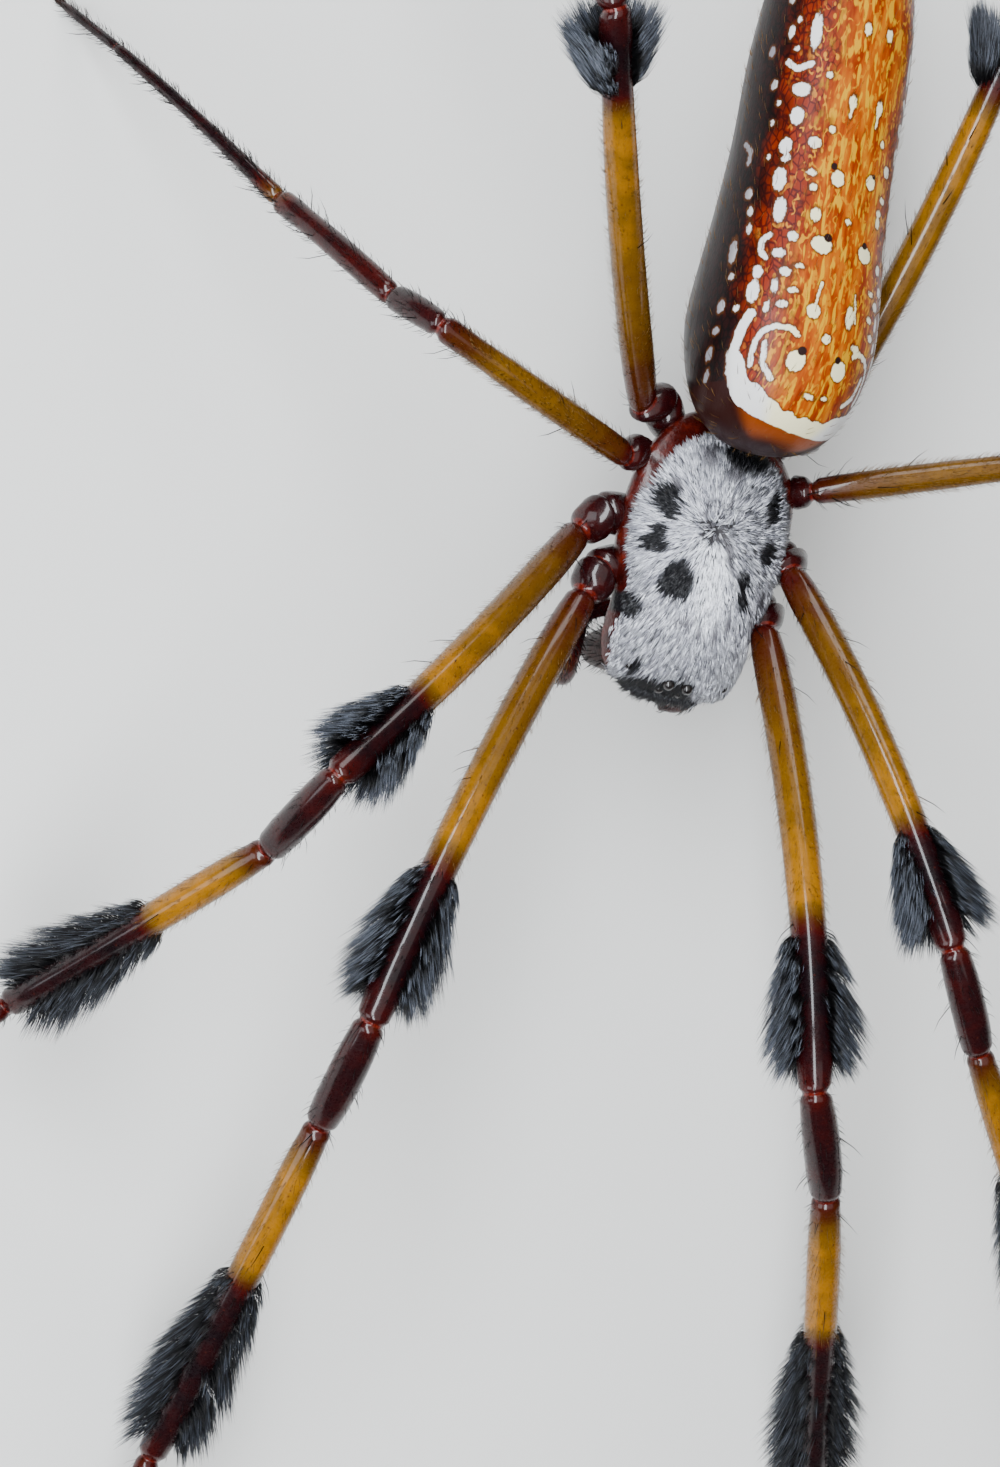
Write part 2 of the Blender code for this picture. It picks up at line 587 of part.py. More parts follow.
def lock(place, around, root_radius, length):
    """Flat lock with a ridge on its outer face: it leaves the leg steeply and bows over towards the foot."""
    outward = Vector((math.cos(around), math.sin(around), 0.0))
    across = Vector((-math.sin(around), math.cos(around), 0.0))
    point = Vector((0.0, 0.0, place)) + outward * root_radius
    mesh = bmesh.new()
    rows = []
    travelled = 0.0
    for fraction, width, thickness in LOCK_PROFILE + [(1.0, 0.0, 0.0)]:
        lean = math.radians(LOCK_LEAN_AT_ROOT + (LOCK_LEAN_AT_TIP - LOCK_LEAN_AT_ROOT) * fraction)
        growth = outward * math.sin(lean) + Vector((0.0, 0.0, math.cos(lean)))
        face = outward * math.cos(lean) - Vector((0.0, 0.0, math.sin(lean)))
        point = point + growth * (fraction - travelled) * length
        travelled = fraction
        if width == 0.0:
            tip = mesh.verts.new(point)
            break
        edge = across * LOCK_WIDTH * width / 2
        ridge = face * LOCK_THICKNESS * thickness
        rows.append([mesh.verts.new(point + offset) for offset in (edge, ridge, -edge)])
    for lower, upper in zip(rows, rows[1:]):
        for i in range(3):
            j = (i + 1) % 3
            mesh.faces.new((lower[i], lower[j], upper[j]))
            mesh.faces.new((lower[i], upper[j], upper[i]))
    mesh.faces.new(rows[0])
    for i in range(3):
        mesh.faces.new((rows[-1][i], rows[-1][(i + 1) % 3], tip))
    bmesh.ops.recalc_face_normals(mesh, faces=mesh.faces)
    return mesh


def tuft(frame, span, profile, length, girth, bend):
    """Locks in staggered rows round the end of a segment, with its upper side left bare."""
    low, high = span[0] * length, span[1] * length - LOCK_LENGTH * 0.55
    row_count = max(2, round((high - low) / LOCK_ROW_STEP) + 1)
    column_step = (360.0 - LOCK_BARE_ANGLE) / LOCK_COLUMNS
    locks = []
    for row in range(row_count):
        row_place = low + (high - low) * row / (row_count - 1)
        stagger = column_step * (0.25 if row % 2 else -0.25)
        for column in range(LOCK_COLUMNS):
            place = row_place + random.uniform(-1, 1) * LOCK_PLACE_SPREAD
            turn = 90.0 + LOCK_BARE_ANGLE / 2 + (column + 0.5) * column_step + stagger
            around = math.radians(turn + random.uniform(-1, 1) * LOCK_ANGLE_SPREAD)
            surface = curve_value(profile, place / length) * girth
            size = LOCK_LENGTH * curve_value(LOCK_ROW_SIZES, row / (row_count - 1))
            size *= 1 + random.uniform(-1, 1) * LOCK_LENGTH_SPREAD
            mesh = lock(place, around, surface - LOCK_ROOT_DEPTH, size)
            bow = 4 * (place / length) * (1 - place / length)
            bmesh.ops.translate(mesh, vec=(bend[0] * bow, bend[1] * bow, 0.0), verts=mesh.verts)
            locks.append(new_object("lock", mesh, frame, None))
    return locks


def leg_course(number, side):
    """Joints from the trochanter's end to the foot, each segment's direction, and the foot's two."""
    sizes, pose = LEG_SIZES[number], LEG_POSES[(number, side)]
    ways = [direction(*pose[part]) for part in ("trochanter", "femur", "patella", "tibia")]
    joints = [CARAPACE_FRAME @ mirrored(sizes["joint"], side) + ways[0] * TROCHANTER_LENGTH]
    for part, way in zip(("femur", "patella", "tibia"), ways[1:]):
        joints.append(joints[-1] + way * sizes[part])
    toe_ways = foot_ways(joints[-1], pose["foot"], sizes)
    ways.append(toe_ways[0])
    return joints, ways, toe_ways


def leg(number, side, materials):
    sizes, pose = LEG_SIZES[number], LEG_POSES[(number, side)]
    name = f"leg_{number}_{side}"
    coxa, trochanter = coxa_pieces(number, side, 0.0, (f"{name}_coxa", "trochanter"))
    coxa.data.materials.append(materials["red"])
    boolean(coxa, [trochanter], "UNION")

    joints, ways, toe_ways = leg_course(number, side)
    meetings = [(before + after).normalized() for before, after in zip(ways, ways[1:])]
    parts = (("femur", FEMUR_PROFILE, (pose["bow"], ARCH), "amber"),
             ("patella", PATELLA_PROFILE, (0.0, 0.1), "red"),
             ("tibia", TIBIA_PROFILE, (0.0, 0.15), "amber"))
    for index, (part, profile, bend, colour) in enumerate(parts):
        piece = segment(f"{name}_{part}", joints[index], ways[index + 1], sizes[part], profile,
                        sizes["girth"], bend, meetings[index:index + 2], materials[colour])
        if (number, part) not in TUFTS:
            continue
        frame = frame_along(joints[index], ways[index + 1])
        locks = tuft(frame, TUFTS[(number, part)], profile, sizes[part], sizes["girth"], bend)
        boolean(piece, locks, "UNION", "MANIFOLD")
        if part == "femur":
            knee = tube(PATELLA_PROFILE, sizes["patella"], sizes["girth"], CUTTER_SIDES, swell=LOCK_CLEARANCE)
            knee = new_object("cutter", knee, frame_along(joints[index + 1], ways[index + 2]), None)
            boolean(piece, [knee], "DIFFERENCE", "MANIFOLD")
    foot(f"{name}_foot", joints[-1], toe_ways, sizes, meetings[-1], materials["dark"])


def femur_cutter(number, side):
    """Swollen femur that keeps the flank of the cephalothorax clear of the real one."""
    sizes, bow = LEG_SIZES[number], LEG_POSES[(number, side)]["bow"]
    joints, ways, _ = leg_course(number, side)
    mesh = tube(FEMUR_PROFILE, sizes["femur"], sizes["girth"], CUTTER_SIDES, (bow, ARCH), swell=GAP)
    return new_object("cutter", mesh, frame_along(joints[0], ways[1]), None)


def clear_scene():
    for item in list(bpy.data.objects):
        bpy.data.objects.remove(item)


def build():
    clear_scene()
    random.seed(7)
    materials = {
        "silver": new_material("silver_hair", (0.72, 0.72, 0.74), 0.5),
        "red": new_material("dark_red_cuticle", (0.12, 0.012, 0.01), 0.25),
        "amber": new_material("amber_cuticle", (0.42, 0.17, 0.02), 0.3),
        "dark": new_material("dark_leg_end", (0.05, 0.02, 0.015), 0.4),
        "abdomen": new_material("golden_abdomen", (0.75, 0.22, 0.01), 0.25),
        "black": new_material("black_cuticle", (0.01, 0.008, 0.008), 0.15),
    }
    body = cephalothorax(materials["silver"])
    cutters = eye_sockets()
    for side in ("left", "right"):
        cutters.append(chelicera(side, None, "cutter", GAP))
        cutters.append(palp(side, None, "cutter", GAP))
        for number in LEG_SIZES:
            cutters += coxa_pieces(number, side, GAP, ("cutter", "cutter"), CUTTER_SIDES)
    cutters += [femur_cutter(number, "left") for number in (1, 2)]
    cutters.append(pedicel(None, "cutter", GAP))
    cutters.append(abdomen(None, "cutter", GAP))
    boolean(body, cutters, "DIFFERENCE")
    eyes(materials["black"])
    for side in ("left", "right"):
        chelicera(side, materials["black"], f"chelicera_{side}")
        fang(side, materials["black"])
        palp(side, materials["red"], f"palp_{side}")
        for number in LEG_SIZES:
            leg(number, side, materials)
    pedicel(materials["red"], "pedicel")
    rear = abdomen(materials["abdomen"])
    boolean(rear, [pedicel(None, "cutter", GAP)], "DIFFERENCE")
    spinnerets(materials["black"])


build()
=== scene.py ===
"""Golden silk orb weaver, the looks: skins, hair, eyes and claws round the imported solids.

Lengths are in millimetres and angles in degrees until make_mesh turns them into metres.
+Z is up, the head points along -Y, and the animal's left side is +X.
"""
import math

import bpy
import numpy as np
from mathutils import Matrix, Vector

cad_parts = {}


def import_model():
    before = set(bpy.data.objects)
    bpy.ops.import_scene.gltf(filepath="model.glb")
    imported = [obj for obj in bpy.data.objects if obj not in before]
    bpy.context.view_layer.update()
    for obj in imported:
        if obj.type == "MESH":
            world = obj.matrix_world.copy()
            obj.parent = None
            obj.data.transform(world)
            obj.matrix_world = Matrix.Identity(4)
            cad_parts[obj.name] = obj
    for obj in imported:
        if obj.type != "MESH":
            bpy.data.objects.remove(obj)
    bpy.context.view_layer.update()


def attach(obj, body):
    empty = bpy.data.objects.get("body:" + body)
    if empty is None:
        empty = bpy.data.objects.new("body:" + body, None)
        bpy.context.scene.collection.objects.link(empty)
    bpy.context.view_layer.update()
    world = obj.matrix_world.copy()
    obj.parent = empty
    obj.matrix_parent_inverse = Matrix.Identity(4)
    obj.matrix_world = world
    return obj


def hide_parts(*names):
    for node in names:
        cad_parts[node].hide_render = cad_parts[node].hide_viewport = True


MM = 0.001
UP = np.array([0.0, 0.0, 1.0])
SIDES = ("left", "right")
SEED = 11

# Stance, as in the solids
FOVEA = np.array([1.8, 3.45, 12.3])
BODY_ROLL = 12.0
CARAPACE_PITCH = 8.0
ABDOMEN_PITCH = 8.0
ABDOMEN_YAW = 2.4

# Cephalothorax: half width, crown, rim and sole height along its length, from the fovea, nose at -Y
CARAPACE_HALF_WIDTHS = [(-6.5, 1.65), (-6.2, 2.38), (-5.5, 2.8), (-4.5, 2.9), (-3.6, 2.88), (-2.6, 3.2),
                        (-1.2, 3.5), (0.4, 3.5), (1.8, 3.2), (2.9, 2.45), (3.6, 1.6), (3.95, 0.7)]
CARAPACE_CROWN = [(-6.5, -0.55), (-6.2, -0.1), (-5.5, 0.45), (-4.5, 0.78), (-3.4, 0.72), (-2.0, 0.42),
                  (-0.8, 0.1), (0.0, -0.02), (1.2, -0.12), (2.4, -0.4), (3.3, -0.85), (3.95, -1.5)]
CARAPACE_RIM = [(-6.5, -1.15), (-5.5, -1.45), (-4.0, -1.5), (-2.6, -1.3), (0.0, -1.2), (2.5, -1.3),
                (3.95, -1.75)]
CARAPACE_SOLE = [(-6.5, -1.7), (-5.6, -1.95), (-4.6, -2.3), (-3.6, -3.2), (-2.8, -3.5), (1.8, -3.5),
                 (3.0, -3.2), (3.95, -2.1)]
CROWN_POWER = 2.3
UNDERSIDE_POWER = 1.45
SOLE_DEPTH = 1.12
COAT_DEPTH = 0.16
CARAPACE_ROWS = 130
CARAPACE_COLUMNS = 150
END_ROUNDING = 0.35

# Grooves beside the midline: start, end, depth and width; and the fovea's pit
GROOVES = [((0.35, -0.7), (2.8, -3.7), 0.2, 0.22), ((0.6, -0.3), (3.2, -1.9), 0.08, 0.2),
           ((0.6, 0.0), (3.4, -0.2), 0.08, 0.2), ((0.6, 0.4), (3.0, 1.6), 0.08, 0.2)]
PIT_DEPTH = 0.14
PIT_PLACE = -0.35
PIT_HALF_WIDTH = 0.5
PIT_HALF_LENGTH = 0.35

# Eyes: name, sideways, forward, up and radius, from the fovea
EYES = [("front_middle", 0.42, -6.4, -0.72, 0.24), ("rear_middle", 0.4, -6.2, -0.12, 0.23),
        ("front_outer", 1.8, -6.2, -0.72, 0.2), ("rear_outer", 2.05, -5.85, -0.45, 0.2)]

# Jaws, fangs and palps, from the fovea
CHELICERA_TOP = np.array([0.98, -5.25, -2.0])
CHELICERA_TIP = np.array([0.88, -5.75, -5.5])
CHELICERA_PROFILE = [(0.0, 0.55), (0.1, 0.76), (0.3, 0.84), (0.6, 0.8), (0.85, 0.66),
                     (0.97, 0.45), (1.0, 0.2)]
FANG_DROP = 0.35
FANG_BASE_RADIUS = 0.21
FANG_SWEEP = 75.0
FANG_BEND_RADIUS = 1.0
PALP_PATH = [(1.3, -3.95, -3.2), (2.0, -4.1, -3.5), (2.75, -4.6, -3.45), (2.95, -5.5, -3.25),
             (2.8, -6.3, -3.45), (2.5, -6.9, -4.05), (2.3, -7.2, -4.9)]
PALP_RADII = [0.3, 0.36, 0.34, 0.37, 0.36, 0.34, 0.15]
LABIUM = ((0.0, -3.75, -3.25), (0.5, 0.55, 0.35))
ENDITE = ((0.95, -3.95, -3.1), (0.45, 0.75, 0.55))
STERNUM_HUMP = ((0.0, -2.2, -3.4), (0.7, 0.55, 0.3))
HORN = (0.33, 0.05, -0.1)
HORN_HEIGHT = 0.42
HORN_RADIUS = 0.2
HORN_TAPER = [(0.0, 1.0), (0.6, 0.75), (0.9, 0.5), (1.0, 0.2)]

# Pedicel and abdomen
PEDICEL_START = np.array([0.0, 3.7, -1.95])
PEDICEL_END = np.array([-0.15, 5.35, -1.62])
PEDICEL_RADIUS = 0.5
PEDICEL_TAPER = [(0.0, 0.8), (0.3, 1.0), (0.7, 1.0), (1.0, 0.8)]
ABDOMEN_POLE = np.array([-0.4, 2.9, 1.8])
ABDOMEN_LENGTH = 21.0
ABDOMEN_HALF_WIDTHS = [(4.2, 3.68), (7.5, 3.31), (11.0, 3.07), (15.0, 3.02), (21.0, 2.45)]
ABDOMEN_FLATTENING = 0.95
ABDOMEN_FRONT_DEPTH = 7.6
ABDOMEN_REAR_DEPTH = 4.6
ABDOMEN_FRONT_POWER = 2.9
ABDOMEN_REAR_POWER = 2.5
ABDOMEN_ROWS = 250
ABDOMEN_COLUMNS = 230
SPINNERET_PLACE = 16.2
SPINNERET_PAIRS = [(0.52, -0.45, 0.36, 1.15), (0.3, 0.0, 0.22, 0.85), (0.52, 0.5, 0.33, 1.1)]
SPINNERET_BASE = (1.15, 1.05, 0.75)
SPINNERET_TAPER = [(0.0, 1.0), (0.55, 0.9), (0.62, 0.7), (0.92, 0.5), (1.0, 0.2)]

# Legs: coxa start and joint with the trochanter from the fovea, lengths, and girth
TROCHANTER_LENGTH = 1.1
LEG_SIZES = {
    1: dict(coxa=(1.65, -2.2, -2.95), joint=(3.6, -2.85, -1.6), femur=18.2, patella=4.9, tibia=15.0,
            metatarsus=19.5, tarsus=5.0, girth=1.0),
    2: dict(coxa=(1.85, -0.5, -2.95), joint=(4.05, -0.75, -1.6), femur=15.8, patella=4.4, tibia=13.0,
            metatarsus=17.0, tarsus=4.5, girth=0.95),
    3: dict(coxa=(1.75, 1.2, -2.95), joint=(3.35, 1.75, -1.55), femur=9.2, patella=2.7, tibia=6.8,
            metatarsus=9.6, tarsus=3.6, girth=0.76),
    4: dict(coxa=(1.45, 2.8, -2.95), joint=(2.8, 3.65, -1.8), femur=17.5, patella=4.2, tibia=12.5,
            metatarsus=16.5, tarsus=4.5, girth=0.9),
}

# Pose: yaw from straight ahead towards the left, and rise; the foot's own rise follows from the floor
LEG_POSES = {
    (1, "right"): dict(trochanter=(-25, 10), femur=(-19, 11), patella=(-4, -38), tibia=(-8, -29),
                       foot=-12, bow=-0.38),
    (1, "left"): dict(trochanter=(-10, 50), femur=(9, 23), patella=(32, -33), tibia=(25, -37),
                      foot=22, bow=0.37),
    (2, "right"): dict(trochanter=(-40, -15), femur=(-39, 25), patella=(-21, -47), tibia=(-41, -45),
                       foot=-44, bow=0.15),
    (2, "left"): dict(trochanter=(-10, 60), femur=(26, 26), patella=(35, -21), tibia=(39, -24),
                      foot=42, bow=0.35),
    (3, "right"): dict(trochanter=(-60, 45), femur=(-107, 16), patella=(-125, -51), tibia=(-132, -44),
                       foot=-131, bow=0.1),
    (3, "left"): dict(trochanter=(100, 60), femur=(109, 12), patella=(114, -40), tibia=(118, -36),
                      foot=120, bow=0.0),
    (4, "right"): dict(trochanter=(-75, 35), femur=(-147, 40), patella=(-149, -8), tibia=(-152, -40),
                       foot=-154, bow=0.35),
    (4, "left"): dict(trochanter=(115, 0), femur=(166, 8), patella=(164, -10), tibia=(160, -24),
                      foot=157, bow=-0.3),
}
ARCH = 0.3
TARSUS_DIP = 7.0
FOOT_SINK = 0.12
FOOT_END_RADIUS = 0.14

# Radii along each segment as fractions of its length, for a leg of girth 1
LEG_PROFILES = {
    "coxa": [(0.0, 0.5), (0.15, 0.72), (0.45, 0.84), (0.8, 0.86), (1.0, 0.68)],
    "trochanter": [(0.0, 0.7), (0.3, 0.84), (0.6, 0.8), (1.0, 0.56)],
    "femur": [(0.0, 0.5), (0.03, 0.62), (0.1, 0.69), (0.25, 0.71), (0.45, 0.71), (0.65, 0.69),
              (0.85, 0.64), (0.955, 0.67), (1.0, 0.56)],
    "patella": [(0.0, 0.52), (0.1, 0.62), (0.62, 0.7), (0.88, 0.64), (1.0, 0.52)],
    "tibia": [(0.0, 0.5), (0.04, 0.56), (0.12, 0.62), (0.4, 0.64), (0.75, 0.6), (0.95, 0.61), (1.0, 0.5)],
    "metatarsus": [(0.0, 0.4), (0.03, 0.46), (0.15, 0.42), (0.5, 0.34), (0.96, 0.28), (1.0, 0.25)],
    "tarsus": [(0.0, 0.23), (0.06, 0.25), (0.45, 0.25), (0.88, 0.22), (1.0, 0.13)],
}
SEGMENTS = ("coxa", "trochanter", "femur", "patella", "tibia", "metatarsus", "tarsus")
SKIN_SHARE = 0.97
LEG_COLUMNS = 22
RING_STEP = 0.34
JOINT_PINCH = 0.16
JOINT_REACH = 0.13
NO_JOINT = 9.0
CLAW_LENGTH = 0.55
CLAW_RADIUS = 0.09
CLAW_SET = ((-0.12, 1.0), (0.12, 1.0), (0.0, 0.6))

# How yellow the cuticle is along the plain segments, and along the third leg where it differs
AMBER_STOPS = {
    "coxa": [(0.0, 0.12), (1.0, 0.17)],
    "trochanter": [(0.0, 0.14), (1.0, 0.19)],
    "patella": [(0.0, 0.32), (0.15, 0.16), (0.85, 0.12), (1.0, 0.26)],
    "metatarsus": [(0.0, 0.3), (0.08, 0.12), (1.0, 0.06)],
    "tarsus": [(0.0, 0.08), (1.0, 0.05)],
}
THIRD_LEG_AMBER_STOPS = {
    "femur": [(0.0, 0.28), (0.1, 0.48), (0.3, 0.7), (0.7, 0.8), (0.88, 0.5), (1.0, 0.3)],
    "tibia": [(0.0, 0.3), (0.3, 0.2), (0.85, 0.2), (1.0, 0.5)],
    "metatarsus": [(0.0, 0.7), (0.05, 0.5), (0.14, 0.1), (1.0, 0.05)],
}

# Tufts of long hair on the ends of femur and tibia: fraction where each starts and stops
TUFTS = {
    (1, "femur"): (0.66, 0.955), (1, "tibia"): (0.44, 0.96),
    (2, "femur"): (0.71, 0.955), (2, "tibia"): (0.43, 0.96),
    (4, "femur"): (0.8, 0.955), (4, "tibia"): (0.45, 0.96),
}
TUFT_STOP = 0.05

# Hair: clumps in each tuft and on each half of the carapace, hairs in a clump, and single hairs
TUFT_CLUMPS = 820
TUFT_CLUMP_HAIRS = 5
TUFT_LENGTHS = [(0.0, 0.9), (0.4, 2.25), (0.75, 2.1), (1.0, 1.35)]
CARAPACE_CLUMPS = 4800
CARAPACE_CLUMP_HAIRS = 4
LEG_HAIRS = 1200
LEG_BRISTLES = 26
ABDOMEN_HAIRS = 1200
JAW_HAIRS = 300
HORN_HAIRS = 160
PATCH = 0.003
ROOT_SINK = 0.025
RIDGE_SHARE = 0.7
HAIR_DISORDER = 0.15
LEAN_DISORDER = 6.0
COAT_CENTRE = 0.3
COAT_LENGTHS = (0.45, 0.72)
COAT_WIDTHS = (0.026, 0.042)
DARK_HAIR_SHARE = 0.13

# Rings along a hair: place and share of the full width
PLAIN_SECTIONS = [(0.0, 1.0), (0.55, 0.8)]
CLUMP_SECTIONS = [(0.0, 0.8), (0.4, 1.0)]
HORN_HAIR_SECTIONS = [(0.0, 0.8), (0.35, 1.0), (0.7, 0.75)]

# Camera: the photo's frame, the view's slant, its turn about the line of sight, distance and scale
PHOTO_WIDTH, PHOTO_HEIGHT = 1000, 1467
FOVEA_PIXEL = (723, 523)
VIEW_LEAN = 17.0
VIEW_TILT = -5.0
VIEW_TURN = 11.0
VIEW_DISTANCE = 200.0
PIXELS_PER_MM = 27.4
SENSOR = 36.0

# Lights: name, distance backward, rightward and upward from the view's target, size, power and colour
COOL_WHITE = (0.9, 0.95, 1.0)
WHITE = (1.0, 1.0, 1.0)
LIGHTS = [("key", 185.0, -12.0, 10.0, (52.0, 320.0), 1.2, COOL_WHITE),
          ("fill", 150.0, -160.0, -30.0, (140.0, 140.0), 0.3, COOL_WHITE),
          ("rim", 110.0, 60.0, 230.0, (130.0, 130.0), 0.35, WHITE)]
TOP_LIGHT_HEIGHT = 1000.0
TOP_LIGHT_SIZE = (1400.0, 1400.0)
TOP_LIGHT_POWER = 7.0
WORLD_LIGHT = 0.12
BACKDROP_LIGHT = 0.7
WORLD_COLOUR = (0.86, 0.88, 0.9, 1.0)
FLOOR_COLOUR = (0.6, 0.59, 0.57, 1.0)
FLOOR_REACH = 0.5

# Colours of skin and hair, some as stops of a ramp
CUTICLE_COLOURS = [(0.0, (0.004, 0.001, 0.0018)), (0.15, (0.013, 0.0012, 0.0016)),
                   (0.3, (0.03, 0.0013, 0.0008)), (0.5, (0.045, 0.011, 0.0006)),
                   (0.7, (0.078, 0.031, 0.0008)), (0.85, (0.11, 0.047, 0.0008)),
                   (1.0, (0.21, 0.082, 0.001))]
CUTICLE_DOT = (0.03, 0.005, 0.003)
MEMBRANE_REDS = ((0.06, 0.0022, 0.0012), (0.12, 0.007, 0.0015))
BARE_REDS = [(0.3, (0.012, 0.0012, 0.0010)), (0.55, (0.035, 0.0025, 0.0015)),
             (0.75, (0.09, 0.008, 0.003))]
UNDERCOAT_GREYS = ((0.02, 0.018, 0.02), (0.07, 0.066, 0.07))
SPOT_SKIN = (0.006, 0.005, 0.006)
SILVERS = [(0.0, (0.012, 0.012, 0.014)), (0.06, (0.02, 0.02, 0.024)), (0.1, (0.14, 0.14, 0.17)),
           (0.45, (0.38, 0.38, 0.43)), (0.8, (0.8, 0.81, 0.87)), (1.0, (0.9, 0.91, 0.95))]
GROOVE_GREY = (0.12, 0.115, 0.13)
SPOT_BLACK = (0.007, 0.007, 0.009)
GOLDS = [(0.36, (0.16, 0.014, 0.0)), (0.5, (0.27, 0.045, 0.0)), (0.64, (0.36, 0.1, 0.0))]
DASH_YELLOW = (0.46, 0.235, 0.0)
NET_RUSTS = ((0.045, 0.0016, 0.0003), (0.15, 0.011, 0.0003))
# Near-black flank colours: partly the skin's own dark colour, partly painted shade along the flanks.
FLANK_DARKS_AND_SHADE = ((0.0012, 0.0004, 0.0004), (0.0075, 0.0008, 0.0007))
FLECK_YELLOWS = ((0.46, 0.2, 0.0005), (0.42, 0.15, 0.012))
OUTLINE_BROWN = (0.05, 0.014, 0.001)
BACK_CREAM = (0.66, 0.61, 0.38)
FLANK_CREAM = (0.56, 0.55, 0.54)
# Grey for the pale marks low on the flank: painted shade.
FLANK_SHADE_GREY = (0.15, 0.145, 0.16)
DOT_BLACK = (0.012, 0.004, 0.004)
POLE_BROWN = (0.013, 0.0013, 0.0006)
BAND_ORANGE = (0.15, 0.026, 0.0003)


def unit(vectors):
    return vectors / np.linalg.norm(vectors, axis=-1, keepdims=True)


def turn_about(axis, degrees):
    angle = math.radians(degrees)
    return np.array(Matrix.Rotation(angle, 3, axis))


def direction(yaw, rise):
    """Unit vector: yaw 0 looks ahead along -Y and turns towards +X, rise lifts it."""
    yaw, rise = math.radians(yaw), math.radians(rise)
    return np.array([math.sin(yaw) * math.cos(rise), -math.cos(yaw) * math.cos(rise), math.sin(rise)])


def axes_along(along):
    """Columns: level side, upward and along."""
    side = unit(np.cross(UP, along))
    return np.stack([side, np.cross(along, side), along], axis=1)


def mirrored(vector, side):
    """The same place on the animal's left or right side."""
    sign = 1.0 if side == "left" else -1.0
    return np.array([vector[0] * sign, vector[1], vector[2]])


def curve(points, places):
    """Smooth curve through (place, value) points, by cubic pieces with averaged slopes."""
    xs, ys = np.array(points, float).T
    slopes = np.diff(ys) / np.diff(xs)
    tangents = np.concatenate([slopes[:1], (slopes[:-1] + slopes[1:]) / 2, slopes[-1:]])
    places = np.clip(places, xs[0], xs[-1])
    index = np.clip(np.searchsorted(xs, places) - 1, 0, len(xs) - 2)
    span = xs[index + 1] - xs[index]
    t = (places - xs[index]) / span
    first = (2 * t ** 3 - 3 * t ** 2 + 1) * ys[index] + (t ** 3 - 2 * t ** 2 + t) * span * tangents[index]
    second = (3 * t ** 2 - 2 * t ** 3) * ys[index + 1]
    return first + second + (t ** 3 - t ** 2) * span * tangents[index + 1]


def ramp(low, high, values):
    """0 below low, 1 above high, smooth between."""
    t = np.clip((values - low) / (high - low), 0.0, 1.0)
    return t * t * (3 - 2 * t)


def rise_from(least, low, high, values):
    """The least share below low, 1 above high, smooth between."""
    return least + (1 - least) * ramp(low, high, values)


def segment_distance(x, y, start, end):
    """Distance of points in a plane from a straight line between two points."""
    along = np.subtract(end, start)
    share = np.clip(((x - start[0]) * along[0] + (y - start[1]) * along[1]) / (along @ along), 0, 1)
    return np.hypot(x - start[0] - share * along[0], y - start[1] - share * along[1])


CARAPACE_TURN = turn_about("Y", BODY_ROLL) @ turn_about("X", CARAPACE_PITCH)
ABDOMEN_ORIGIN = FOVEA + CARAPACE_TURN @ ABDOMEN_POLE
ABDOMEN_TURN = axes_along(direction(180 - ABDOMEN_YAW, -ABDOMEN_PITCH)) @ turn_about("Z", BODY_ROLL + 2)


def from_carapace(points):
    """Points given from the fovea, in the row frame."""
    return np.asarray(points) @ CARAPACE_TURN.T + FOVEA


def from_abdomen(points):
    return np.asarray(points) @ ABDOMEN_TURN.T + ABDOMEN_ORIGIN


def make_mesh(name, points, faces, values, material, nodes=()):
    """Mesh object from points in millimetres and a list of equal-sided face arrays."""
    mesh = bpy.data.meshes.new(name)
    loops = np.concatenate([block.ravel() for block in faces])
    totals = np.concatenate([np.full(len(block), block.shape[1]) for block in faces])
    starts = np.concatenate([[0], np.cumsum(totals)[:-1]])
    mesh.vertices.add(len(points))
    mesh.vertices.foreach_set("co", (points * MM).astype(np.float32).ravel())
    mesh.loops.add(len(loops))
    mesh.loops.foreach_set("vertex_index", loops.astype(np.int32))
    mesh.polygons.add(len(totals))
    mesh.polygons.foreach_set("loop_start", starts.astype(np.int32))
    mesh.polygons.foreach_set("use_smooth", np.ones(len(totals), bool))
    mesh.update(calc_edges=True)
    for label, numbers in values.items():
        layer = mesh.attributes.new(label, "FLOAT", "POINT")
        layer.data.foreach_set("value", np.asarray(numbers, np.float32).ravel())
    mesh.materials.append(material)
    piece = bpy.data.objects.new(name, mesh)
    bpy.context.collection.objects.link(piece)
    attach(piece, "root")
    if nodes:
        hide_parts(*nodes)
    return piece, loops


